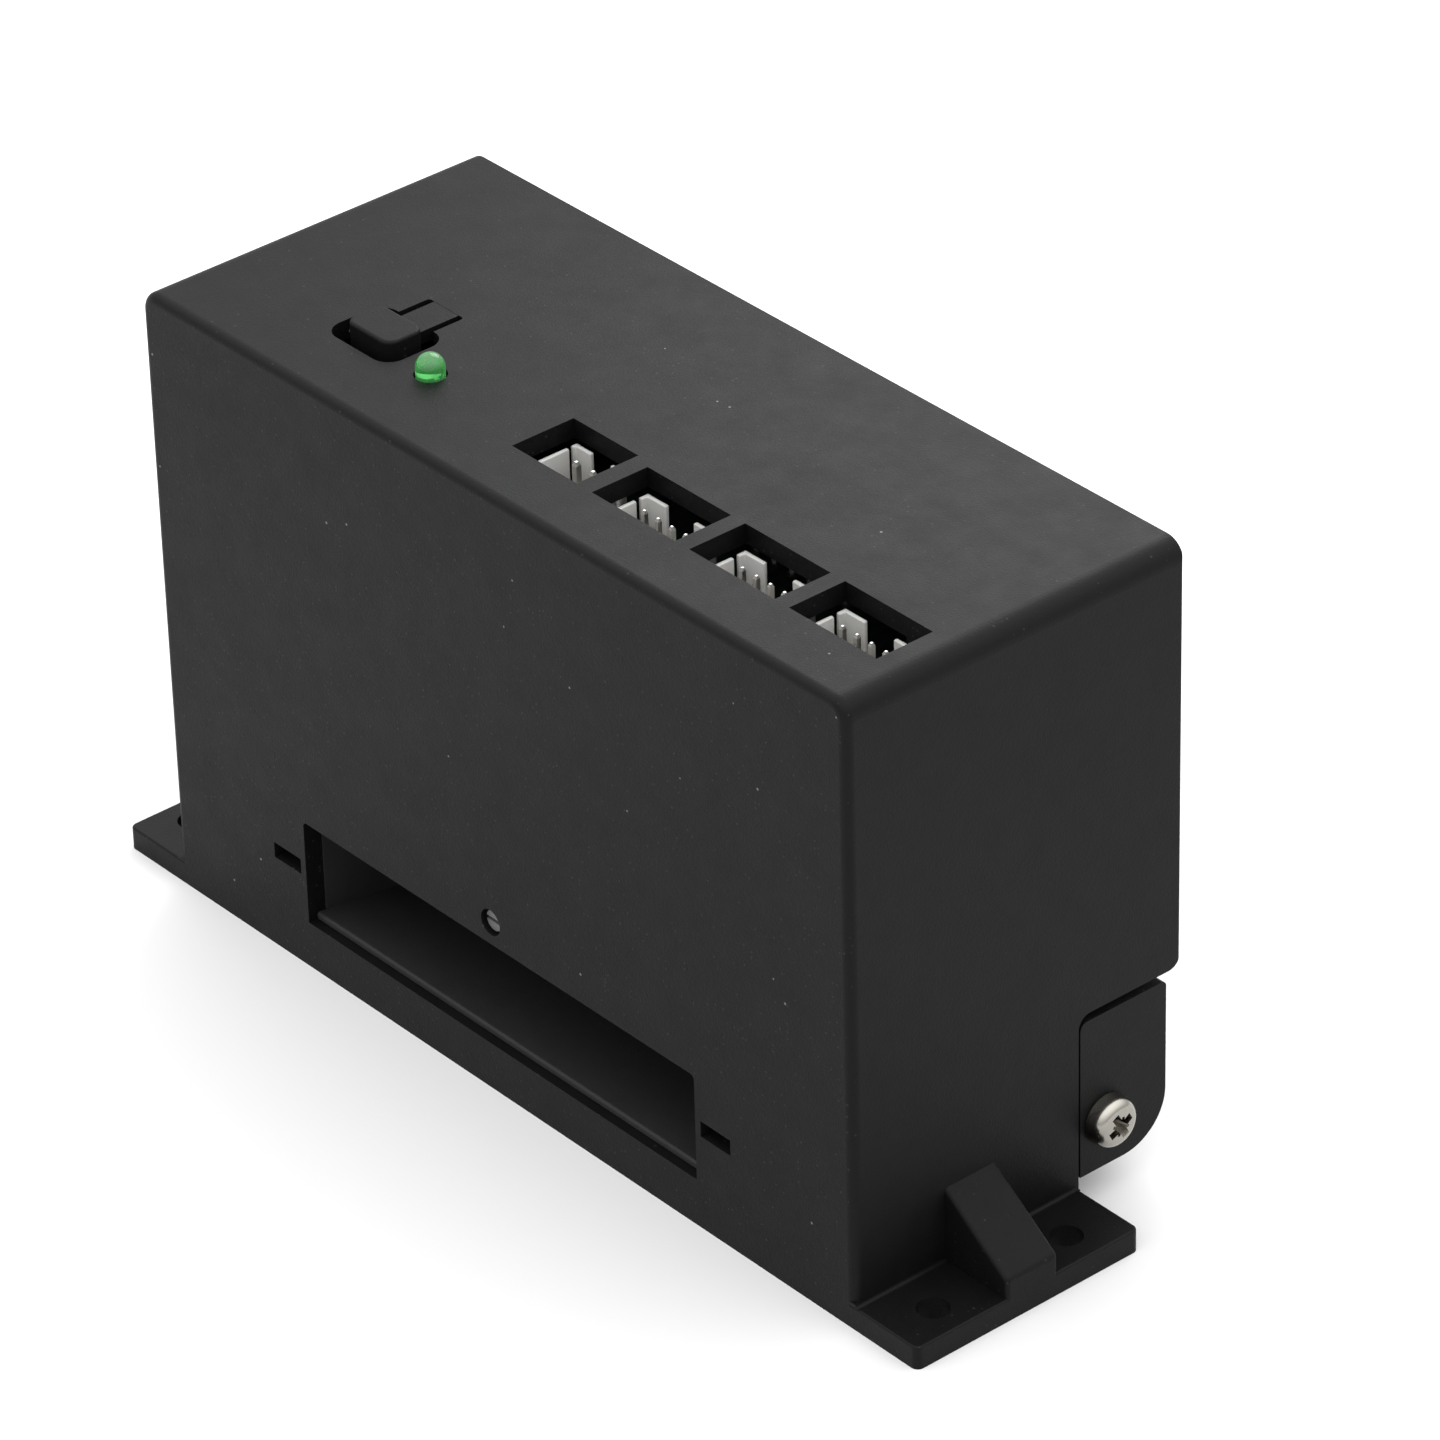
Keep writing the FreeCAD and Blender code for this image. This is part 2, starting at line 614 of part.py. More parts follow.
def cable_sill():
    """The sloping sill in the cable window, with a cheek and a clip at each end."""
    nose = IN_FRONT - SILL_NOSE
    profile = [
        (IN_FRONT, BASE_THICKNESS, 0),
        (IN_FRONT, CABLE_WINDOW_BOTTOM + SLIP, 0),
        (nose, CABLE_WINDOW_BOTTOM + SLIP, 0),
        (nose, SILL_TOP, SILL_EDGE),
        (SILL_BACK, SILL_TOP - SILL_DROP, 0),
        (SILL_BACK, BASE_THICKNESS, 0),
    ]
    pieces = [plate(profile, "x", (WINDOW_LOW + SLIP, WINDOW_HIGH - SLIP))]
    for edge, side, slot in zip((WINDOW_LOW, WINDOW_HIGH), (-1, 1), clip_slots()):
        cheek = sorted((edge - side * SLIP, edge + side * CHEEK))
        pieces.append(block(cheek, (IN_FRONT, SILL_BACK), (BASE_THICKNESS, CABLE_WINDOW_TOP)))
        tall = around(CLIP_SLOT_Z, CLIP_SLOT[1] - 2 * SLIP)
        arm = sorted((edge, edge + side * (CLIP_SLOT_STEP + CLIP_SLOT[0] - SLIP)))
        pieces.append(block(arm, (IN_FRONT, IN_FRONT + CHEEK), tall))
        pieces.append(block((slot[0] + SLIP, slot[1] - SLIP), (IN_FRONT - CLIP_NOSE, IN_FRONT + CHEEK), tall))
    return joined(pieces)


# --- Rear cover ---
def rear_cover():
    """The wiring cover: two ears, a rear wall that turns under, and a wire exit in its floor."""
    outside = [
        (COVER_FRONT, COVER_BOTTOM, 0),
        (COVER_FACE, COVER_BOTTOM, COVER_ROUND),
        (COVER_FACE, COVER_TOP, COVER_BACK_CORNER),
        (COVER_FRONT, COVER_TOP, COVER_CORNER),
    ]
    inside = [
        (COVER_FRONT - CUT, COVER_BOTTOM + COVER_WALL, 0),
        (COVER_FACE - COVER_WALL, COVER_BOTTOM + COVER_WALL, COVER_ROUND - COVER_WALL),
        (COVER_FACE - COVER_WALL, COVER_TOP + CUT, 0),
        (COVER_FRONT - CUT, COVER_TOP + CUT, 0),
    ]
    shape = plate(outside, "x", (LEFT, RIGHT)).cut(plate(inside, "x", (IN_LEFT, IN_RIGHT)))
    exit_x = around(TERMINAL_OFFSET, TERMINAL_LENGTH + 2 * WIRE_EXIT_MARGIN)
    exit_y = (COVER_FRONT - CUT, COVER_FRONT + WIRE_EXIT_DEPTH)
    shape = shape.cut(block(exit_x, exit_y, (COVER_BOTTOM - CUT, COVER_BOTTOM + COVER_WALL + CUT)))
    return shape.cut(rod("x", SIDE_SCREW_AT, SIDE_SCREW_Z, (LEFT - CUT, RIGHT + CUT), SIDE_SCREW_R + SLIP))


def side_insert(side):
    """A knurled brass insert in the case's boss, shown as a plain bush."""
    face = side * SIDE_BOSS_FACE
    ends = (face, face - side * INSERT_LENGTH)
    return rod("x", SIDE_SCREW_AT, SIDE_SCREW_Z, ends, INSERT_R - INSERT_GAP).cut(
        rod("x", SIDE_SCREW_AT, SIDE_SCREW_Z, ends, SIDE_SCREW_R + SHAFT_GAP)
    )


def side_screw(side):
    """The pan-head screw through one of the cover's ears."""
    seat = side * CASE_LENGTH / 2
    tip = seat - side * SIDE_SCREW_LENGTH
    at_yz = (SIDE_SCREW_AT, SIDE_SCREW_Z)
    return screw("x", *at_yz, seat, tip, SIDE_SCREW_R, SIDE_HEAD_R, SIDE_HEAD, SIDE_RECESS)


# --- Plug headers ---
def header_y(size):
    """The (low, high) of a header along Y. A deeper one than the motor headers goes mostly to the rear."""
    low = HEADER_FRONT - HEADER_AHEAD * (size[1] - MOTOR_HEADER[1])
    return (low, low + size[1])


def header_pins(middle, size, count, pitch, width):
    """A header's row of square pins, from their solder tails to their tips."""
    y = header_y(size)[1] - PIN_BACK
    ends = (BOARD_UNDER - PIN_TAIL, BOARD_TOP + size[2] - PIN_SINK)
    return [pin("z", middle + pitch * (n - (count - 1) / 2), y, ends, width) for n in range(count)]


def header_body(middle, size, pins, tabs, end_slot):
    """An open-topped header shell. Its rear wall is two tabs, and each end wall has a slot near the rear."""
    x = around(middle, size[0])
    y = header_y(size)
    z = (BOARD_TOP, BOARD_TOP + size[2])
    shape = block(x, y, z)
    inner_x = (x[0] + HEADER_WALL, x[1] - HEADER_WALL)
    inner_y = (y[0] + HEADER_WALL, y[1] - HEADER_WALL)
    shape = shape.cut(block(inner_x, inner_y, (z[0] + HEADER_FLOOR, z[1] + CUT)))
    slot_z = (z[0] + HEADER_SLOT_FLOOR, z[1] + CUT)
    gap = block((x[0] + tabs[0], x[1] - tabs[1]), (inner_y[1] - SLIP, y[1] + CUT), slot_z)
    from_rear, width = end_slot
    slot_y = (y[1] - from_rear - width, y[1] - from_rear)
    slots = [block((x[0] - CUT, inner_x[0] + SLIP), slot_y, slot_z)]
    slots.append(block((inner_x[1] - SLIP, x[1] + CUT), slot_y, slot_z))
    return shape.cut([gap] + slots + pins)


# --- Press tab, switch and lamp ---
def reset_tab():
    """The press tab: a raised pad on a thin neck that bends at its root, and a stem over the switch."""
    pad_x = (LEFT + PAD_X, LEFT + PAD_X + PAD_LENGTH)
    pad_y = (FRONT + PAD_Y, FRONT + PAD_Y + PAD_DEPTH)
    pad = slab(pad_x, pad_y, (UNDER_TOP, CASE_HEIGHT + PAD_RISE), PAD_ROUND)
    rim = [edge for edge in pad.Edges if abs(edge.BoundBox.ZMin - CASE_HEIGHT - PAD_RISE) < 1e-4]
    pad = pad.makeFillet(PAD_EDGE, rim)
    neck_x = (LEFT + NECK_X, LEFT + NECK_X + NECK_WIDTH)
    neck = block(neck_x, (pad_y[1] - NECK_LAP, ROOT - HINGE_GAP), (CASE_HEIGHT - NECK_THICKNESS, CASE_HEIGHT))
    stem = rod("z", *PAD_MID, (STEM_END, UNDER_TOP + TOP_WALL / 2), STEM_R)
    return joined([pad, neck, stem])


def switch_outline(z):
    """The switch's square outline between two heights."""
    x, y = PAD_MID
    return slab(around(x, SWITCH_SIZE), around(y, SWITCH_SIZE), z, SWITCH_CORNER)


def peg_places():
    """Where the switch's two pegs go through the interface board."""
    return [(PAD_MID[0], y) for y in around(PAD_MID[1], SWITCH_PEG_PITCH)]


def switch_base():
    """The switch's moulded body with its two board pegs and the well its plunger slides in."""
    body = switch_outline((BOARD_TOP, BOARD_TOP + SWITCH_BASE))
    foot_z = (BOARD_TOP - SWITCH_PEG_LENGTH, BOARD_TOP + WELL_FLOOR / 2)
    pegs = [rod("z", x, y, foot_z, SWITCH_PEG / 2) for x, y in peg_places()]
    well_z = (BOARD_TOP + WELL_FLOOR, BOARD_TOP + SWITCH_BASE + CUT)
    return joined([body] + pegs).cut(rod("z", *PAD_MID, well_z, PLUNGER_R + PLUNGER_COLLAR + SLIP))


def switch_cover():
    """The switch's sheet steel cover, with the hole its plunger comes through."""
    z = (BOARD_TOP + SWITCH_BASE, BOARD_TOP + SWITCH_BASE + SWITCH_COVER)
    return switch_outline(z).cut(rod("z", *PAD_MID, (z[0] - CUT, z[1] + CUT), PLUNGER_R + SHAFT_GAP))


def switch_plunger():
    """The round plunger, with the collar that keeps it under the cover."""
    x, y = PAD_MID
    low = BOARD_TOP + WELL_FLOOR + PLUNGER_TRAVEL + SLIP
    collar = (low, BOARD_TOP + SWITCH_BASE - SHAFT_GAP)
    stem = rod("z", x, y, (low, PLUNGER_TOP), PLUNGER_R)
    return stem.fuse(rod("z", x, y, collar, PLUNGER_R + PLUNGER_COLLAR)).removeSplitter()


def led_lens():
    """The lamp's clear body: a rimmed cylinder with a domed top."""
    rim = rod("z", *LED_AT, (LED_BASE, LED_BASE + LED_RIM), LED_RIM_R)
    shoulder = LED_BASE + LED_HEIGHT - LED_R
    barrel = rod("z", *LED_AT, (LED_BASE, shoulder), LED_R)
    dome = Part.makeSphere(LED_R, V(*LED_AT, shoulder), V(0, 0, 1), 0, 90, 360)
    return joined([rim, barrel, dome])


def led_leads():
    """The lamp's two square leads, from the lens to below the board."""
    x, y = LED_AT
    ends = (LED_BASE, BOARD_UNDER - PIN_TAIL)
    return [pin("z", x + side * LED_PITCH / 2, y, ends, LED_LEAD) for side in (-1, 1)]


def led_spacer():
    """The nylon spacer that holds the lamp above the board."""
    shape = rod("z", *LED_AT, (BOARD_TOP, LED_BASE), LED_RIM_R)
    for side in (-1, 1):
        hole_x = around(LED_AT[0] + side * LED_PITCH / 2, LED_LEAD + 2 * SHAFT_GAP)
        hole_y = around(LED_AT[1], LED_LEAD + 2 * SHAFT_GAP)
        shape = shape.cut(block(hole_x, hole_y, (BOARD_TOP - CUT, LED_BASE + CUT)))
    return shape


# --- Boards ---
def pin_places():
    """Where the interface board is drilled for pins."""
    places = [(LED_AT[0] + side * LED_PITCH / 2, LED_AT[1]) for side in (-1, 1)]
    rows = [(POWER_HEADER_AT, POWER_HEADER, POWER_PIN_COUNT, POWER_PITCH)]
    rows += [(x, MOTOR_HEADER, MOTOR_PIN_COUNT, MOTOR_PITCH) for x in MOTOR_HEADERS]
    for middle, size, count, pitch in rows:
        y = header_y(size)[1] - PIN_BACK
        places += [(middle + pitch * (n - (count - 1) / 2), y) for n in range(count)]
    return places + [(x, POWER_FACE - LINK_BLOCK / 2) for x in link_row()]


def link_row():
    """The link header's pins along X."""
    return [LINK_OFFSET + LINK_PITCH * (n - (LINK_PINS - 1) / 2) for n in range(LINK_PINS)]


def interface_board():
    """The level board under the top, which carries the headers, switch and lamp."""
    x = (IN_LEFT + BOARD_MARGIN, IN_RIGHT - BOARD_MARGIN)
    y = (IN_FRONT + BOARD_MARGIN, IN_FRONT + BOARD_MARGIN + INTERFACE_DEPTH)
    z = (BOARD_UNDER, BOARD_TOP)
    shape = slab(x, y, z, BOARD_CORNER)
    drill = (z[0] - CUT, z[1] + CUT)
    holes = [rod("z", u, v, drill, PIN_HOLE_R) for u, v in pin_places()]
    holes += [rod("z", u, v, drill, BOARD_SCREW_R + SLIP) for u, v in POSTS]
    holes += [rod("z", u, v, drill, SWITCH_PEG / 2 + SHAFT_GAP) for u, v in peg_places()]
    return shape.cut(holes)


def interface_screw(x, y):
    """A small screw up through the interface board into its post."""
    tip = BOARD_UNDER + BOARD_SCREW_LENGTH
    return screw("z", x, y, BOARD_UNDER, tip, BOARD_SCREW_R, BOARD_HEAD_R, BOARD_HEAD, BOARD_RECESS)


def power_board():
    """The upright board behind the cable window, drilled for its screws and its through pins."""
    x = around(0, POWER_BOARD_LENGTH)
    shape = block(x, (POWER_FACE, POWER_BACK), (POWER_BOARD_BOTTOM, POWER_TOP))
    drill = (POWER_FACE - CUT, POWER_BACK + CUT)
    holes = [rod("y", u, w, drill, BOARD_SCREW_R + SLIP) for u, w in POWER_SCREWS]
    holes += [rod("y", u, w, drill, PIN_HOLE_R) for u, w in control_places()]
    return shape.cut(holes)


def power_screw(x, z):
    """A small screw through the power board into a boss on the lower rear wall."""
    tip = POWER_FACE + POWER_SCREW_LENGTH
    return screw("y", x, z, POWER_FACE, tip, BOARD_SCREW_R, BOARD_HEAD_R, BOARD_HEAD, BOARD_RECESS)


def link_body():
    """The block that holds the pins between the two boards."""
    z = (POWER_TOP - LINK_BLOCK, POWER_TOP)
    x = around(LINK_OFFSET, LINK_PINS * LINK_PITCH)
    shape = block(x, (POWER_FACE - LINK_BLOCK, POWER_FACE), z)
    return shape.cut(link_pins())


def link_pins():
    """The pins that rise from the power board's top edge through the interface board."""
    ends = (POWER_TOP - LINK_BLOCK, BOARD_TOP + LINK_TAIL)
    return [pin("z", x, POWER_FACE - LINK_BLOCK / 2, ends, LINK_PIN) for x in link_row()]


# --- Parts on the power board ---
def on_face(x, z, size):
    """A block standing on the power board's front face. size is (along X, along Z, height)."""
    return block(around(x, size[0]), (POWER_FACE - size[2], POWER_FACE), around(z, size[1]))


def heatsink(x):
    """A finned heat sink glued to a driver chip."""
    foot_face = POWER_FACE - CHIP[2]
    y = (foot_face - HEATSINK[2], foot_face)
    shape = block(around(x, HEATSINK[0]), y, around(CHIP_Z, HEATSINK[1]))
    gap = (HEATSINK[0] - FIN_COUNT * FIN) / (FIN_COUNT - 1)
    for n in range(FIN_COUNT - 1):
        low = x - HEATSINK[0] / 2 + FIN + n * (FIN + gap)
        cut_y = (y[0] - CUT, foot_face - HEATSINK_FOOT)
        shape = shape.cut(block((low, low + gap), cut_y, around(CHIP_Z, HEATSINK[1] + 2 * CUT)))
    return shape


def capacitor(x):
    """An upright can on the board's back, with the groove near its base and a rounded top."""
    ends = (POWER_BACK, POWER_BACK + CAPACITOR_HEIGHT)
    can = rod("y", x, CAPACITOR_Z, ends, CAPACITOR_R)
    top = [edge for edge in can.Edges if edge.Closed and abs(edge.CenterOfMass.y - ends[1]) < 1e-4]
    can = can.makeFillet(CAPACITOR_EDGE, top)
    crimp = V(x, ends[0] + CAPACITOR_CRIMP[1], CAPACITOR_Z)
    groove = Part.makeTorus(CAPACITOR_R + CAPACITOR_CRIMP[0] / 2, CAPACITOR_CRIMP[0], crimp, V(0, 1, 0))
    return can.cut(groove)


def rounded_on_face(x, size, radius):
    """A block with four rounded edges in the logic row on the board's front face."""
    u, w = around(x, size[0]), around(LOGIC_Z, size[1])
    corners = [(u[0], w[0], radius), (u[1], w[0], radius), (u[1], w[1], radius), (u[0], w[1], radius)]
    return plate(corners, "y", (POWER_FACE - size[2], POWER_FACE))


def crystal():
    """The crystal's flat oval can."""
    return rounded_on_face(CRYSTAL_OFFSET, CRYSTAL, CRYSTAL[1] * 0.49)


def inductor():
    """The shielded inductor: a rounded square block."""
    return rounded_on_face(INDUCTOR_OFFSET, INDUCTOR, INDUCTOR_CORNER)


def control_places():
    """The control header's pins on the power board, as (x, z)."""
    first = CABLE_WINDOW_OFFSET - CONTROL_PITCH * (CONTROL_PINS - 1) / 2
    columns = [first + CONTROL_PITCH * n for n in range(CONTROL_PINS)]
    return [(x, CONTROL_Z + side * CONTROL_PITCH / 2) for x in columns for side in (-1, 1)]


def control_pins():
    """Two rows of pins that face the cable window."""
    ends = (POWER_BACK + PIN_TAIL, POWER_FACE - CONTROL_HEADER[2] + CONTROL_PIN_SINK)
    return [pin("y", x, z, ends, CONTROL_PIN) for x, z in control_places()]


def control_body():
    """The box header around the control pins, with its key notch."""
    length, height, depth = CONTROL_HEADER
    shape = on_face(CABLE_WINDOW_OFFSET, CONTROL_Z, CONTROL_HEADER)
    mouth = (POWER_FACE - depth - CUT, POWER_FACE - CONTROL_FLOOR)
    inner_x = around(CABLE_WINDOW_OFFSET, length - 2 * CONTROL_WALL)
    shape = shape.cut(block(inner_x, mouth, around(CONTROL_Z, height - 2 * CONTROL_WALL)))
    key = block(around(CABLE_WINDOW_OFFSET, CONTROL_KEY), mouth, (CONTROL_Z, CONTROL_Z + height))
    return shape.cut([key] + control_pins())


def trimmer_body():
    """The trimmer's square body, bored for its shaft."""
    shape = on_face(TRIMMER_OFFSET, TRIMMER_Z, (TRIMMER_BODY[0], TRIMMER_BODY[0], TRIMMER_BODY[1]))
    face = POWER_FACE - TRIMMER_BODY[1]
    bore = (face - CUT, face + TRIMMER_BORE)
    return shape.cut(rod("y", TRIMMER_OFFSET, TRIMMER_Z, bore, TRIMMER_SHAFT_R + SHAFT_GAP))


def trimmer_shaft():
    """The trimmer's long shaft, which ends just inside its hole in the front with a screwdriver slot."""
    face = POWER_FACE - TRIMMER_BODY[1]
    tip = FRONT + TRIMMER_SINK
    shaft = rod("y", TRIMMER_OFFSET, TRIMMER_Z, (tip, face + TRIMMER_BORE - SLIP), TRIMMER_SHAFT_R)
    collar_y = (face - SLIP - TRIMMER_COLLAR, face - SLIP)
    collar = rod("y", TRIMMER_OFFSET, TRIMMER_Z, collar_y, TRIMMER_SHAFT_R + TRIMMER_COLLAR)
    width, depth = TRIMMER_SLOT
    slot_y = (tip - CUT, tip + depth)
    slot = block(around(TRIMMER_OFFSET, 3 * TRIMMER_SHAFT_R), slot_y, around(TRIMMER_Z, width))
    return shaft.fuse(collar).removeSplitter().cut(slot)


def terminal_body():
    """The supply terminal block: clamp cavities, with screw wells to the rear and wire holes below."""
    y = (POWER_BACK, POWER_BACK + TERMINAL_DEPTH)
    z = (TERMINAL_BOTTOM, TERMINAL_BOTTOM + TERMINAL_HEIGHT)
    shape = block(around(TERMINAL_OFFSET, TERMINAL_LENGTH), y, z)
    well = y[1] - TERMINAL_WELL
    width, depth = TERMINAL_WIRE_HOLE
    for x in POLES:
        shape = shape.cut(rod("y", x, (z[0] + z[1]) / 2, (y[1] + CUT, well), TERMINAL_SCREW_R + 2 * SLIP))
        shape = shape.cut(block(around(x, width), (well - depth, well), (z[0] - CUT, z[1] - TERMINAL_ROOF)))
    return shape


def terminal_screw(x):
    """A terminal's clamp screw: a slotted round head in its well."""
    z = TERMINAL_BOTTOM + TERMINAL_HEIGHT / 2
    top = POWER_BACK + TERMINAL_DEPTH - TERMINAL_SCREW_SINK
    under = top - TERMINAL_SCREW_HEAD
    well = POWER_BACK + TERMINAL_DEPTH - TERMINAL_WELL
    shank = rod("y", x, z, (under + SLIP, well - SLIP), TERMINAL_SHANK_R)
    shape = rod("y", x, z, (top, under), TERMINAL_SCREW_R).fuse(shank).removeSplitter()
    slot_y = (top - TERMINAL_SCREW_HEAD / 3, top + CUT)
    return shape.cut(block(around(x, 3 * TERMINAL_SCREW_R), slot_y, around(z, TERMINAL_SCREW_R / 3)))


def terminal_clamp(x):
    """A terminal's cage: an open brass frame that the wire goes up into."""
    middle = POWER_BACK + TERMINAL_DEPTH - TERMINAL_WELL - TERMINAL_WIRE_HOLE[1] / 2
    z = (TERMINAL_BOTTOM + CUT, TERMINAL_BOTTOM + TERMINAL_HEIGHT - TERMINAL_ROOF - SLIP)
    shape = block(around(x, CLAMP[0]), around(middle, CLAMP[1]), z)
    return shape.cut(block(around(x, CLAMP_BORE[0]), around(middle, CLAMP_BORE[1]), (z[0] - CUT, z[1] + CUT)))


def nodes():
    """Every node's name and its solids."""
    power_pins = header_pins(POWER_HEADER_AT, POWER_HEADER, POWER_PIN_COUNT, POWER_PITCH, POWER_PIN)
    power_body = header_body(POWER_HEADER_AT, POWER_HEADER, power_pins, POWER_TABS, POWER_END_SLOT)
    made = {
        "housing_shell": [housing_shell()],
        "base_plate": [base_plate()],
        "base_plate_screws": [base_screw(x, y) for x, y in BOSSES],
        "cable_sill": [cable_sill()],
        "rear_cover": [rear_cover()],
        "rear_cover_inserts": [side_insert(side) for side in (-1, 1)],
        "rear_cover_screws": [side_screw(side) for side in (-1, 1)],
        "reset_tab": [reset_tab()],
        "reset_switch_base": [switch_base()],
        "reset_switch_cover": [switch_cover()],
        "reset_switch_plunger": [switch_plunger()],
        "status_led_lens": [led_lens()],
        "status_led_leads": led_leads(),
        "status_led_spacer": [led_spacer()],
        "interface_board": [interface_board()],
        "interface_board_screws": [interface_screw(x, y) for x, y in POSTS],
        "power_header_body": [power_body],
        "power_header_pins": power_pins,
        "power_board": [power_board()],
        "power_board_screws": [power_screw(x, z) for x, z in POWER_SCREWS],
        "link_header_body": [link_body()],
        "link_header_pins": link_pins(),
        "microcontroller": [on_face(CONTROLLER_OFFSET, LOGIC_Z, CONTROLLER)],
        "crystal": [crystal()],
        "voltage_regulator": [on_face(REGULATOR_OFFSET, LOGIC_Z, REGULATOR)],
        "power_inductor": [inductor()],
        "control_header_body": [control_body()],
        "control_header_pins": control_pins(),
        "current_trimmer_body": [trimmer_body()],
        "current_trimmer_shaft": [trimmer_shaft()],
        "terminal_block_body": [terminal_body()],
        "terminal_block_screws": [terminal_screw(x) for x in POLES],
        "terminal_block_clamps": [terminal_clamp(x) for x in POLES],
    }
    for n, middle in enumerate(MOTOR_HEADERS, start=1):
        pins = header_pins(middle, MOTOR_HEADER, MOTOR_PIN_COUNT, MOTOR_PITCH, MOTOR_PIN)
        made[f"motor_header_{n}_body"] = [header_body(middle, MOTOR_HEADER, pins, MOTOR_TABS, MOTOR_END_SLOT)]
        made[f"motor_header_{n}_pins"] = pins
    for n, step in enumerate((-1, 0, 1), start=1):
        made[f"driver_chip_{n}"] = [on_face(step * CHIP_PITCH, CHIP_Z, CHIP)]
        made[f"heatsink_{n}"] = [heatsink(step * CHIP_PITCH)]
        made[f"filter_capacitor_{n}"] = [capacitor(step * CAPACITOR_PITCH)]
    return made


def main():
    """Writes each node to parts/NODE.step."""
    os.makedirs("parts", exist_ok=True)
    for name, solids in nodes().items():
        shape = solids[0] if len(solids) == 1 else Part.makeCompound(solids)
        if len(shape.Solids) != len(solids) or not shape.isValid() or shape.Volume <= 0:
            raise ValueError(f"{name} isn't {len(solids)} whole solid(s)")
        shape.exportStep(f"parts/{name}.step")


main()
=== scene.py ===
import json
import math

import bmesh
import bpy
from bpy.props import FloatProperty, FloatVectorProperty, IntProperty, PointerProperty
from mathutils import Matrix, Vector

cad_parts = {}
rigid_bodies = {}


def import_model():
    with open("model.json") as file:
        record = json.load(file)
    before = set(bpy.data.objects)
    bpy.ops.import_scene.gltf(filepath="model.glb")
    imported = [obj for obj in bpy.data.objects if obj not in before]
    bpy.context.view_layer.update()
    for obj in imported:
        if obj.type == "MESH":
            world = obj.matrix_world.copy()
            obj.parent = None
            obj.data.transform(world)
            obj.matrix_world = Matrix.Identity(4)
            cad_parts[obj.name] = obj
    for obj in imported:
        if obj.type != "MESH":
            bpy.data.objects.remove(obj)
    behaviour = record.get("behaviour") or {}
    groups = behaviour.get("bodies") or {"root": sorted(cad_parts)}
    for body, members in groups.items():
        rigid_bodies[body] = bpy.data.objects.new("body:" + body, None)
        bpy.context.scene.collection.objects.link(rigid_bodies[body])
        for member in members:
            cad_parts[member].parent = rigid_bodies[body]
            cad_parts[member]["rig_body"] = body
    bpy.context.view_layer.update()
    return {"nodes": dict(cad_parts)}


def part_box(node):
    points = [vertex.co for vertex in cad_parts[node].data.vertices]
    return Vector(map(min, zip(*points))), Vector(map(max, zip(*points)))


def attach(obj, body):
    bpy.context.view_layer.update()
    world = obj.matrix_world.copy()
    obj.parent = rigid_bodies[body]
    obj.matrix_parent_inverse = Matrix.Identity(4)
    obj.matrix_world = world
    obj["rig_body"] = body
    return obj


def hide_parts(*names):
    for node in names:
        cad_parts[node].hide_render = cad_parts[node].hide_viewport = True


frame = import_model()

bl_info = {
    "name": "Stepper driver module",
    "version": (1, 0, 0),
    "blender": (4, 5, 0),
    "location": "3D View > Sidebar > Module",
    "description": "Finishes and fine pieces for a stepper driver module's packed parts",
    "category": "Object",
}

MM = 0.001
# The stage: the sky's brightness at the horizon, the height where it is full, and the floor's look
SKY_AT_HORIZON = 0.30
SKY_FULL_HEIGHT = 0.9
FLOOR_GREYS = (0.58, 0.60)
FLOOR_CLOUD = 0.4
FLOOR_GLOW = 0.08
CLIP_START = 0.01
# How bright the cover and the sill are, as multiples of the case's colour; the sill's is painted light, which
# lightens the sill where it lies in shade inside the case
COVER_SHADE = 0.95
SILL_PAINTED_LIGHT = 6.0
# The side screws' shanks, and how far each head is turned from level
SCREW_SHANK_R = 1.45 * MM
SCREW_LENGTH = 7.9 * MM
SCREW_TURN = math.radians(28)
# The lamp's lens: its body's radius, its rim's height, and the rounding of the rim
LENS_RADIUS = 1.5 * MM
LENS_RIM = 1.0 * MM
LENS_RIM_FLAT = 0.85 * MM
LENS_EASE = 0.1 * MM
# Rounding of the moulded edges
CHIP_EDGE = 0.12 * MM
TERMINAL_EDGE = 0.15 * MM
# The lamp's lead frame as (radius, height) pairs in millimetres, each about its own upright axis
LEAD_CUP = ((0, 0.6), (0.35, 0.6), (0.55, 2.3), (0.75, 2.9), (0.70, 2.9), (0.35, 2.5), (0, 2.5))
LEAD_CUP_AT = -0.35 * MM
LEAD_POST = ((0, 0.6), (0.22, 0.6), (0.22, 2.9), (0.12, 3.0), (0, 3.0))
LEAD_POST_AT = 0.75 * MM
# Each metal's colour, roughness and grain size
METALS = {
    "lead_frame": ((0.75, 0.75, 0.72), 0.3, 0.12 * MM),
    "pin_tin": ((0.74, 0.72, 0.68), 0.24, 0.12 * MM),
    "zinc_plate": ((0.6, 0.6, 0.57), 0.32, 0.12 * MM),
    "switch_steel": ((0.62, 0.62, 0.60), 0.35, 0.12 * MM),
    "extruded_aluminium": ((0.78, 0.79, 0.80), 0.34, 0.3 * MM),
    "drawn_can": ((0.72, 0.72, 0.74), 0.28, 0.12 * MM),
    "terminal_zinc": ((0.62, 0.62, 0.58), 0.3, 0.12 * MM),
    "turned_brass": ((0.80, 0.58, 0.26), 0.26, 0.12 * MM),
}
# Each plain plastic's colour and roughness
PLASTICS = {
    "header_black": ((0.012, 0.012, 0.013), 0.42),
    "switch_black": ((0.015, 0.015, 0.015), 0.42),
    "plunger_black": ((0.02, 0.02, 0.02), 0.35),
    "chip_epoxy": ((0.02, 0.02, 0.021), 0.55),
    "ferrite_grey": ((0.05, 0.05, 0.052), 0.6),
    "trimmer_blue": ((0.03, 0.10, 0.45), 0.3),
    "shaft_grey": ((0.10, 0.10, 0.10), 0.4),
    "terminal_green": ((0.03, 0.30, 0.09), 0.4),
}
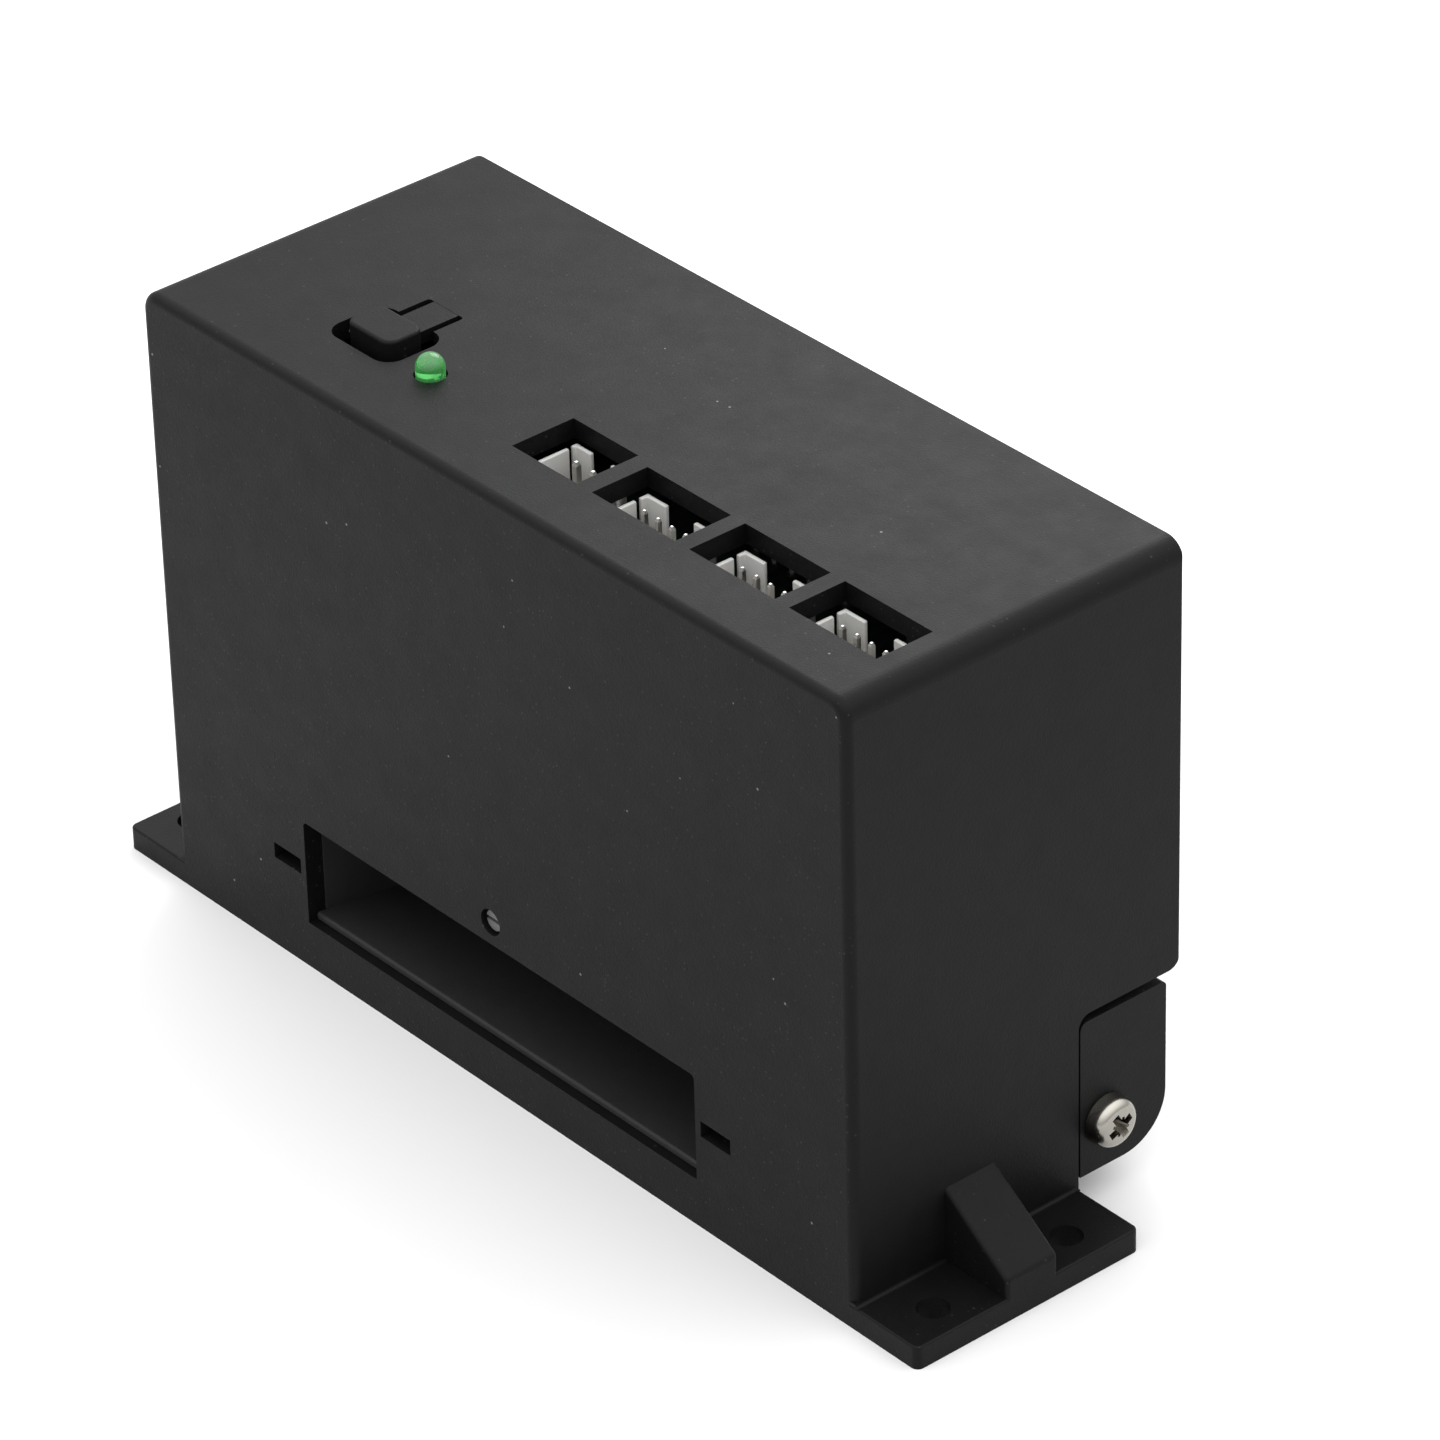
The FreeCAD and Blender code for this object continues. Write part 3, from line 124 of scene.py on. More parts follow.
# The screws' nickel: roughness and grain size
NICKEL = (0.14, 0.12 * MM)


# --- Shader maths ---
def feed(tree, slot, value):
    """Links a socket to a node's input, or sets the input's own value."""
    if isinstance(value, Socket):
        tree.links.new(value.output, slot)
    else:
        slot.default_value = value


class Socket:
    """A shader node's output. Arithmetic on it adds Math nodes."""

    def __init__(self, tree, output):
        self.tree = tree
        self.output = output

    def math(self, operation, *values):
        """The result of a Math node on these values, which are sockets or numbers."""
        node = self.tree.nodes.new("ShaderNodeMath")
        node.operation = operation
        for slot, value in zip(node.inputs, values):
            feed(self.tree, slot, value)
        return Socket(self.tree, node.outputs[0])

    def __add__(self, other):
        return self.math("ADD", self, other)

    __radd__ = __add__

    def __sub__(self, other):
        return self.math("SUBTRACT", self, other)

    def __rsub__(self, other):
        return self.math("SUBTRACT", other, self)

    def __mul__(self, other):
        return self.math("MULTIPLY", self, other)

    __rmul__ = __mul__

    def __gt__(self, other):
        return self.math("GREATER_THAN", self, other)

    def __lt__(self, other):
        return self.math("LESS_THAN", self, other)


class Graph:
    """A node tree, and the one way that every node but the Math ones is made in it."""

    def __init__(self, tree):
        self.tree = tree

    def node(self, kind, settings=None, inputs=None, output=0):
        """A node: its settings come first, then the values or links of its sockets."""
        made = self.tree.nodes.new(kind)
        for name, value in (settings or {}).items():
            setattr(made, name, value)
        for name, value in (inputs or {}).items():
            feed(self.tree, made.inputs[name], value)
        return Socket(self.tree, made.outputs[output])

    def mix(self, amount, low, high):
        """A colour between two, by a mask."""
        return self.node("ShaderNodeMix", {"data_type": "RGBA"}, {"Factor": amount, 6: low, 7: high}, 2)

    def ease(self, value, start, end):
        """0 up to start, 1 from end, with a smooth run between them."""
        settings = {"interpolation_type": "SMOOTHSTEP"}
        return self.node("ShaderNodeMapRange", settings, {"Value": value, "From Min": start, "From Max": end})


class Finish(Graph):
    """One procedural material, built around a single Principled shader."""

    def __init__(self, name, **constants):
        self.material = bpy.data.materials.new(name)
        self.material.use_nodes = True
        super().__init__(self.material.node_tree)
        self.shader = self.tree.nodes["Principled BSDF"]
        self.place = self.node("ShaderNodeTexCoord", output="Object")
        self.set(**constants)

    def set(self, **values):
        """Sets or links the shader's own sockets. Underscores in a name stand for spaces."""
        for name, value in values.items():
            feed(self.tree, self.shader.inputs[name.replace("_", " ")], value)

    def noise(self, size, detail=2.0, roughness=0.5):
        """Soft noise from 0 to 1 whose features are about size metres across."""
        return self.node(
            "ShaderNodeTexNoise", None,
            {"Vector": self.place, "Scale": 1 / size, "Detail": detail, "Roughness": roughness},
        )

    def bump(self, height, strength, depth):
        """Links a bump of this height to the shader's normal."""
        inputs = {"Height": height, "Strength": strength, "Distance": depth}
        self.set(Normal=self.node("ShaderNodeBump", None, inputs))

    def specks(self, spacing, size, share):
        """A mask of sparse round specks, about spacing apart before share of them are kept."""
        cell = {"Vector": self.place, "Scale": 1 / spacing}
        near = self.node("ShaderNodeTexVoronoi", None, cell, "Distance")
        pick = self.node("ShaderNodeTexVoronoi", None, cell, "Color")
        chance = self.node("ShaderNodeSeparateColor", None, {"Color": pick}, "Red")
        radius = self.node("ShaderNodeSeparateColor", None, {"Color": pick}, "Green") * (size / spacing)
        return (near < radius) * (chance < share)


def grey(value):
    """An opaque grey."""
    return (value, value, value, 1.0)


def opaque(colour):
    """A colour property as an opaque shader colour."""
    return (*colour, 1.0)


# --- Settings ---
class CaseSettings(bpy.types.PropertyGroup):
    """The case's black moulding."""

    colour: FloatVectorProperty(
        name="Colour", description="Colour of the moulded case", subtype="COLOR",
        default=(0.0028, 0.0028, 0.0029), min=0, max=1,
    )
    roughness: FloatProperty(
        name="Roughness", description="How matt the moulding is", subtype="FACTOR",
        default=0.46, min=0, max=1,
    )
    sheen: FloatProperty(
        name="Sheen", description="Strength of the surface reflection", subtype="FACTOR",
        default=0.105, min=0, max=1,
    )
    grain: FloatProperty(
        name="Grain", description="Size of the spark-eroded texture's grains", subtype="DISTANCE",
        default=0.00022, min=0.00005,
    )
    dust: FloatProperty(
        name="Dust", description="Share of the dust places that hold a speck", subtype="FACTOR",
        default=0.045, min=0, max=1,
    )


class ScrewSettings(bpy.types.PropertyGroup):
    """The nickel-plated screws that hold the rear cover."""

    colour: FloatVectorProperty(
        name="Colour", description="Colour of the plating", subtype="COLOR",
        default=(0.36, 0.345, 0.31), min=0, max=1,
    )
    recess: FloatProperty(
        name="Recess", description="Width across the cross recess", subtype="DISTANCE",
        default=0.0030, min=0.0005,
    )
    segments: IntProperty(name="Segments", description="Facets round the head", default=64, min=12)


class LampSettings(bpy.types.PropertyGroup):
    """The status lamp."""

    colour: FloatVectorProperty(
        name="Colour", description="Colour of the clear moulding", subtype="COLOR",
        default=(0.13, 0.60, 0.17), min=0, max=1,
    )
    # The glow is painted: the lamp is unlit, and this emission only makes its resin look vivid
    painted_glow: FloatProperty(name="Glow", description="Strength of the light from inside", default=0.12, min=0)


class BoardSettings(bpy.types.PropertyGroup):
    """The circuit boards and the headers on them."""

    mask: FloatVectorProperty(
        name="Mask", description="Colour of the solder mask", subtype="COLOR", default=(0.004, 0.006, 0.005),
        min=0, max=1,
    )
    nylon: FloatVectorProperty(
        name="Nylon", description="Colour of the header bodies", subtype="COLOR",
        default=(0.36, 0.358, 0.345), min=0, max=1,
    )
    edge: FloatProperty(
        name="Edge", description="Rounding of the headers' moulded edges", subtype="DISTANCE",
        default=0.00015, min=0.00001,
    )


class StageSettings(bpy.types.PropertyGroup):
    """The camera, the floor and the lights."""

    azimuth: FloatProperty(
        name="Azimuth", description="Camera's direction round the module", subtype="ANGLE",
        default=math.radians(50.14),
    )
    elevation: FloatProperty(
        name="Elevation", description="Camera's height angle", subtype="ANGLE", default=math.radians(32.38),
    )
    roll: FloatProperty(
        name="Roll", description="Camera's tilt", subtype="ANGLE", default=math.radians(-1.56),
    )
    place: FloatVectorProperty(
        name="Place", description="Where the camera stands", subtype="XYZ", unit="LENGTH",
        default=(0.51158, -0.41901, 0.45411),
    )
    lens: FloatProperty(name="Lens", description="Focal length", unit="CAMERA", default=199.6, min=1)
    floor: FloatProperty(
        name="Floor", description="Side of the floor", subtype="DISTANCE", default=6.0, min=1,
    )
    sky: FloatProperty(name="Sky", description="Brightness of the surrounding light", default=2.6, min=0)
    panel: FloatProperty(
        name="Panel", description="Power of the soft panel behind the module", unit="POWER",
        default=0.20, min=0,
    )
    panel_size: FloatProperty(
        name="Panel size", description="Width of the soft panel", subtype="DISTANCE", default=0.16, min=0.01,
    )
    panel_place: FloatVectorProperty(
        name="Panel place", description="Where the soft panel stands", subtype="XYZ", unit="LENGTH",
        default=(-0.09, 0.15, 0.19),
    )


# --- Mesh helpers ---
def body_of(node):
    """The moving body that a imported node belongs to."""
    return frame["nodes"][node]["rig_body"]


def clothe(node, finish):
    """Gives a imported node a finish."""
    mesh = frame["nodes"][node].data
    mesh.materials.clear()
    mesh.materials.append(finish.material)


def new_piece(name, bm, finish, body, sharp=35):
    """An object from a bmesh, shaded smooth up to a sharp angle in degrees, that rides on a body."""
    mesh = bpy.data.meshes.new(name)
    bmesh.ops.recalc_face_normals(bm, faces=bm.faces)
    bm.to_mesh(mesh)
    bm.free()
    stale = mesh.attributes.get("custom_normal")
    if stale:
        mesh.attributes.remove(stale)
    mesh.shade_smooth()
    mesh.set_sharp_from_angle(angle=math.radians(sharp))
    mesh.materials.append(finish.material)
    piece = bpy.data.objects.new(name, mesh)
    bpy.context.scene.collection.objects.link(piece)
    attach(piece, body)
    return piece


def with_modifier(bm, kind, settings):
    """A bmesh after one modifier has been applied to it."""
    mesh = bpy.data.meshes.new("working")
    bm.to_mesh(mesh)
    bm.free()
    helper = bpy.data.objects.new("working", mesh)
    bpy.context.scene.collection.objects.link(helper)
    modifier = helper.modifiers.new("step", kind)
    for name, value in settings.items():
        setattr(modifier, name, value)
    evaluated = helper.evaluated_get(bpy.context.evaluated_depsgraph_get())
    result = bmesh.new()
    result.from_mesh(evaluated.to_mesh())
    evaluated.to_mesh_clear()
    bpy.data.objects.remove(helper)
    bpy.data.meshes.remove(mesh)
    return result


def softened(node, finish, edge, segments=2):
    """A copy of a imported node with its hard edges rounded, which stands for it."""
    bm = bmesh.new()
    bm.from_mesh(frame["nodes"][node].data)
    bmesh.ops.remove_doubles(bm, verts=bm.verts, dist=0.001 * MM)
    bmesh.ops.dissolve_limit(bm, angle_limit=math.radians(1), verts=bm.verts, edges=bm.edges)
    bm = with_modifier(
        bm, "BEVEL",
        {"width": edge, "segments": segments, "limit_method": "ANGLE", "angle_limit": math.radians(40)},
    )
    piece = new_piece(f"{node}_moulded", bm, finish, body_of(node), 50)
    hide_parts(node)
    return piece


def turned(bm, profile, segments, placing):
    """Adds a closed turned shape. profile is (radius, height) pairs from the bottom's middle to the top's."""
    rings = []
    for radius, height in profile:
        count = segments if radius > 0 else 1
        turn = [2 * math.pi * n / segments for n in range(count)]
        spots = [Vector((radius * math.cos(a), radius * math.sin(a), height)) for a in turn]
        rings.append([bm.verts.new(placing @ spot) for spot in spots])
    for low, high in zip(rings, rings[1:]):
        for n in range(segments):
            m = n + 1
            quad = [low[n % len(low)], low[m % len(low)], high[m % len(high)], high[n % len(high)]]
            corners = list(dict.fromkeys(quad))
            if len(corners) > 2:
                bm.faces.new(corners)


def lofted(bm, outlines, placing):
    """Adds a closed shape through outlines that have the same number of points."""
    rings = [[bm.verts.new(placing @ Vector(point)) for point in outline] for outline in outlines]
    bm.faces.new(rings[0][::-1])
    bm.faces.new(rings[-1])
    for low, high in zip(rings, rings[1:]):
        for n in range(len(low)):
            m = (n + 1) % len(low)
            bm.faces.new([low[n], low[m], high[m], high[n]])


def arc(middle, radius, start, end, steps):
    """Points along an arc as (radius, height) pairs; angles in degrees from the outward direction."""
    angles = [math.radians(start + (end - start) * n / steps) for n in range(steps + 1)]
    return [(middle[0] + radius * math.cos(a), middle[1] + radius * math.sin(a)) for a in angles]


def facing(axis, origin):
    """A placing whose local Z points along an axis, from an origin."""
    return Matrix.Translation(origin) @ Vector(axis).to_track_quat("Z", "Y").to_matrix().to_4x4()


# --- Finishes ---
def moulded_black(name, tone_and_painted_light=1.0):
    """Matt black moulding with a spark-eroded grain, faint mottling and a little dust."""
    case = bpy.context.scene.module_case
    # The colour times a factor: for the sill this factor is painted light on a part that lies in shade
    colour = [part * tone_and_painted_light for part in case.colour]
    finish = Finish(name, IOR=1.5, Specular_IOR_Level=case.sheen)
    grain = finish.noise(case.grain, 3.0, 0.6)
    cloud = finish.noise(4 * MM, 5.0, 0.65)
    scuffs = finish.noise(1.3 * MM, 3.0)
    dust = finish.specks(1.6 * MM, 0.16 * MM, case.dust)
    powder = finish.specks(0.55 * MM, 0.13 * MM, case.dust * 4)
    lighter = [part * 1.6 + 0.001 for part in colour]
    base = finish.mix(cloud * 0.5 + scuffs * 0.4, opaque(colour), opaque(lighter))
    powdered = finish.mix(powder * 0.6, base, grey(0.03))
    finish.set(
        Base_Color=finish.mix(dust, powdered, grey(0.12)),
        Roughness=case.roughness - 0.13 + cloud * 0.20 + grain * 0.08,
    )
    finish.bump(grain + scuffs * 0.25, 0.55, 0.06 * MM)
    return finish


def plated(name, colour, roughness, grain):
    """Bright metal with faint unevenness."""
    finish = Finish(name, Metallic=1.0)
    wear = finish.noise(0.5 * MM, 3.0)
    fine = finish.noise(grain, 2.0)
    finish.set(
        Base_Color=finish.mix(wear, opaque([part * 0.85 for part in colour]), opaque(colour)),
        Roughness=roughness + wear * 0.10 + fine * 0.04,
    )
    finish.bump(fine, 0.08, 0.01 * MM)
    return finish


def nylon(name, colour):
    """Slightly translucent natural nylon."""
    finish = Finish(name, Subsurface_Weight=0.12, Subsurface_Scale=0.4 * MM, IOR=1.53)
    cloud = finish.noise(1.5 * MM, 3.0)
    finish.set(
        Base_Color=finish.mix(cloud, opaque([part * 0.9 for part in colour]), opaque(colour)),
        Roughness=0.38 + cloud * 0.12,
    )
    finish.bump(finish.noise(0.1 * MM), 0.1, 0.01 * MM)
    return finish


def moulded(name, colour, roughness):
    """Plain moulded plastic with faint clouding and grain."""
    finish = Finish(name)
    cloud = finish.noise(2.5 * MM, 3.0)
    grain = finish.noise(0.15 * MM)
    finish.set(
        Base_Color=finish.mix(cloud, opaque([part * 0.8 for part in colour]), opaque(colour)),
        Roughness=roughness + cloud * 0.1,
    )
    finish.bump(grain, 0.12, 0.02 * MM)
    return finish


def metal(name):
    """One of the metals by its name."""
    return plated(name, *METALS[name])


def plastic(name):
    """One of the plain plastics by its name."""
    return moulded(name, *PLASTICS[name])


def laminate(name, colour):
    """Glass laminate under a glossy solder mask, with raised tracks and the cloth's faint weave."""
    finish = Finish(name, IOR=1.5, Coat_Roughness=0.12)
    bands = finish.node(
        "ShaderNodeTexWave", {"wave_type": "BANDS", "bands_direction": "X"},
        {"Vector": finish.place, "Scale": 1 / (5.5 * MM), "Distortion": 3.0, "Detail": 0.0},
    )
    tracks = bands > 0.62
    weave = finish.noise(0.3 * MM, 1.0)
    lighter = [part * 1.8 + 0.002 for part in colour]
    finish.set(
        Base_Color=finish.mix(tracks * 0.7 + weave * 0.2, opaque(colour), opaque(lighter)),
        Roughness=0.3 + weave * 0.1,
        Coat_Weight=0.5 - tracks * 0.1,
    )
    finish.bump(tracks + weave * 0.15, 0.4, 0.035 * MM)
    return finish


def clear_green(name):
    """The lamp's tinted clear resin, with a painted glow: the lamp is unlit, and its emission only makes the
    resin look vivid.
    """
    lamp = bpy.context.scene.module_lamp
    finish = Finish(name, Transmission_Weight=0.85, IOR=1.52, Emission_Strength=lamp.painted_glow)
    haze = finish.noise(0.6 * MM, 2.0)
    finish.set(
        Base_Color=finish.mix(haze, opaque([part * 0.8 for part in lamp.colour]), opaque(lamp.colour)),
        Roughness=0.04 + haze * 0.05,
        # Painted glow: the emission colour of an unlit lamp
        Emission_Color=finish.mix(haze, opaque([part * 0.6 for part in lamp.colour]), opaque(lamp.colour)),
    )
    return finish


# --- Operators ---
class MODULE_OT_case(bpy.types.Operator):
    """Finish the case, its tab, sill, base plate and rear cover"""

    bl_idname = "module.case"
    bl_label = "Case"

    def execute(self, context):
        black = moulded_black("case_black")
        for node in ("housing_shell", "reset_tab"):
            clothe(node, black)
        cover = moulded_black("cover_black", COVER_SHADE)
        for node in ("rear_cover", "base_plate"):
            clothe(node, cover)
        # The sill is a painted-light copy of the case's black, six times lighter because it lies in shade
        clothe("cable_sill", moulded_black("sill_black_painted_light", SILL_PAINTED_LIGHT))
        return {"FINISHED"}


def cross_outline(width, bar, height):
    """A plus sign's outline at one height, as wide as width with arms bar wide."""
    far, near = width / 2, bar / 2
    corner = [(far, -near), (far, near), (near, near)]
    points = []
    for quarter in range(4):
        turn = Matrix.Rotation(quarter * math.pi / 2, 2)
        points += [turn @ Vector(point) for point in corner]
    return [(point.x, point.y, height) for point in points]


def carved(bm, outlines, placing):
    """A bmesh with a lofted shape cut out of it."""
    cutter = bmesh.new()
    lofted(cutter, outlines, placing)
    bmesh.ops.recalc_face_normals(cutter, faces=cutter.faces)
    mesh = bpy.data.meshes.new("cutter")
    cutter.to_mesh(mesh)
    cutter.free()
    tool = bpy.data.objects.new("cutter", mesh)
    bpy.context.scene.collection.objects.link(tool)
    bm = with_modifier(bm, "BOOLEAN", {"operation": "DIFFERENCE", "object": tool, "solver": "EXACT"})
    bpy.data.objects.remove(tool)
    bpy.data.meshes.remove(mesh)
    return bm


def pan_head(radius, height, shank, length, recess, segments, placing):
    """A pan-head screw with a tapered cross recess: the head's seat is at local height 0."""
    bm = bmesh.new()
    crown = arc((radius - height * 0.55, height * 0.45), height * 0.5, 0, 80, 10)
    profile = [(0, -length), (shank * 0.7, -length), (shank, -length + shank * 0.5)]
    profile += [(shank, -0.05 * MM), (radius * 0.97, 0), (radius, height * 0.08)]
    profile += [*crown, (radius * 0.3, height * 0.985), (0, height)]
    turned(bm, profile, segments, Matrix.Identity(4))
    bmesh.ops.recalc_face_normals(bm, faces=bm.faces)
    above = height + 0.2 * MM
    # Widths are shares of the recess's, heights are shares of the head's
    cross = [
        cross_outline(recess * 0.42, recess * 0.20, height * 0.08),
        cross_outline(recess * 0.80, recess * 0.24, height * 0.55),
        cross_outline(recess * 1.06, recess * 0.30, above),
    ]
    bm = carved(bm, cross, Matrix.Identity(4))
    ribs = [
        cross_outline(recess * 0.40, recess * 0.10, height * 0.45),
        cross_outline(recess * 0.78, recess * 0.12, above),
    ]
    bm = carved(bm, ribs, Matrix.Rotation(math.pi / 4, 4, "Z"))
    bm.transform(placing)
    return bm


class MODULE_OT_side_screws(bpy.types.Operator):
    """Make the nickel pan-head screws in the rear cover's ears"""

    bl_idname = "module.side_screws"
    bl_label = "Side screws"

    def execute(self, context):
        screws = context.scene.module_screws
        plating = plated("nickel_plate", screws.colour, *NICKEL)
        low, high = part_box("rear_cover_screws")
        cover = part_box("rear_cover")
        radius = (high.z - low.z) / 2
        middle = (low + high) / 2
        for name, side, edge in (("left", -1, cover[0].x), ("right", 1, cover[1].x)):
            height = abs((high.x if side > 0 else low.x) - edge)
            placing = facing((side, 0, 0), Vector((edge, middle.y, middle.z)))
            turned_to = placing @ Matrix.Rotation(SCREW_TURN * side, 4, "Z")
            shank = (SCREW_SHANK_R, SCREW_LENGTH)
            bm = pan_head(radius, height, *shank, screws.recess, screws.segments, turned_to)
            piece = new_piece(f"side_screw_{name}", bm, plating, "housing", 30)
            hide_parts("rear_cover_screws")
        return {"FINISHED"}


class MODULE_OT_lamp(bpy.types.Operator):
    """Make the status lamp's clear lens and the metal frame inside it"""

    bl_idname = "module.lamp"
    bl_label = "Lamp"

    def execute(self, context):
        low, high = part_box("status_led_lens")
        middle = Vector(((low.x + high.x) / 2, (low.y + high.y) / 2, low.z))
        rim, height = (high.x - low.x) / 2, high.z - low.z
        bm = bmesh.new()
        profile = [(0, 0), (rim - LENS_EASE, 0), (rim, LENS_EASE)]
        profile += [(rim, LENS_RIM_FLAT), (rim - LENS_EASE, LENS_RIM)]
        profile += [(LENS_RADIUS + LENS_EASE / 2, LENS_RIM), (LENS_RADIUS, LENS_RIM + LENS_EASE)]
        profile += arc((0, height - LENS_RADIUS), LENS_RADIUS, 0, 84, 14) + [(0, height)]
        turned(bm, profile, 48, Matrix.Translation(middle))
        lens = new_piece("lamp_lens", bm, clear_green("lamp_resin"), "housing", 40)
        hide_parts("status_led_lens")
        tinned = metal("lead_frame")
        bm = bmesh.new()
        for profile, x, segments in ((LEAD_CUP, LEAD_CUP_AT, 24), (LEAD_POST, LEAD_POST_AT, 16)):
            sized = [(radius * MM, height * MM) for radius, height in profile]
            turned(bm, sized, segments, Matrix.Translation(middle + Vector((x, 0, 0))))
        new_piece("lamp_lead_frame", bm, tinned, "housing", 40)
        clothe("status_led_leads", tinned)
        clothe("status_led_spacer", nylon("spacer_nylon", context.scene.module_board.nylon))
        return {"FINISHED"}


class MODULE_OT_headers(bpy.types.Operator):
    """Make the plug headers' moulded bodies and finish their pins"""

    bl_idname = "module.headers"
    bl_label = "Headers"

    def execute(self, context):
        board = context.scene.module_board
        ivory = nylon("header_nylon", board.nylon)
        tin = metal("pin_tin")
        names = ["power_header"] + [f"motor_header_{n}" for n in (1, 2, 3)]
        for name in names:
            softened(f"{name}_body", ivory, board.edge)
            clothe(f"{name}_pins", tin)
        for node in ("link_header_pins", "control_header_pins"):
            clothe(node, tin)
        black = plastic("header_black")
        for node in ("link_header_body", "control_header_body"):
            softened(node, black, board.edge * 2)
        return {"FINISHED"}


class MODULE_OT_boards(bpy.types.Operator):
    """Finish the two boards and their screws"""

    bl_idname = "module.boards"
    bl_label = "Boards"

    def execute(self, context):
        mask = laminate("solder_mask", context.scene.module_board.mask)
        zinc = metal("zinc_plate")
        for node in ("interface_board", "power_board"):
            clothe(node, mask)
        for node in ("interface_board_screws", "power_board_screws", "base_plate_screws"):
            clothe(node, zinc)
        return {"FINISHED"}


class MODULE_OT_switch(bpy.types.Operator):
    """Finish the switch under the press tab"""

    bl_idname = "module.switch"
    bl_label = "Switch"

    def execute(self, context):
        clothe("reset_switch_base", plastic("switch_black"))
        clothe("reset_switch_cover", metal("switch_steel"))
        clothe("reset_switch_plunger", plastic("plunger_black"))
        return {"FINISHED"}


class MODULE_OT_board_parts(bpy.types.Operator):
    """Finish the chips, heat sinks, capacitors and the other parts on the power board"""

    bl_idname = "module.board_parts"
    bl_label = "Board parts"

    def execute(self, context):
        epoxy = plastic("chip_epoxy")
        for node in ["microcontroller", "voltage_regulator"] + [f"driver_chip_{n}" for n in (1, 2, 3)]:
            softened(node, epoxy, CHIP_EDGE)
        fins = metal("extruded_aluminium")
        can = metal("drawn_can")
        for n in (1, 2, 3):
            softened(f"heatsink_{n}", fins, CHIP_EDGE)
            clothe(f"filter_capacitor_{n}", can)
        clothe("crystal", can)
        clothe("power_inductor", plastic("ferrite_grey"))
        return {"FINISHED"}


class MODULE_OT_trimmer(bpy.types.Operator):
    """Finish the trimmer behind the small front hole"""

    bl_idname = "module.trimmer"
    bl_label = "Trimmer"

    def execute(self, context):
        clothe("current_trimmer_body", plastic("trimmer_blue"))
        clothe("current_trimmer_shaft", plastic("shaft_grey"))
        return {"FINISHED"}


class MODULE_OT_terminals(bpy.types.Operator):
    """Make the supply terminals behind the rear cover"""

    bl_idname = "module.terminals"
    bl_label = "Terminals"

    def execute(self, context):
        green = plastic("terminal_green")
        softened("terminal_block_body", green, TERMINAL_EDGE)
        clothe("terminal_block_screws", metal("terminal_zinc"))
        brass = metal("turned_brass")
        for node in ("terminal_block_clamps", "rear_cover_inserts"):
            clothe(node, brass)
        return {"FINISHED"}


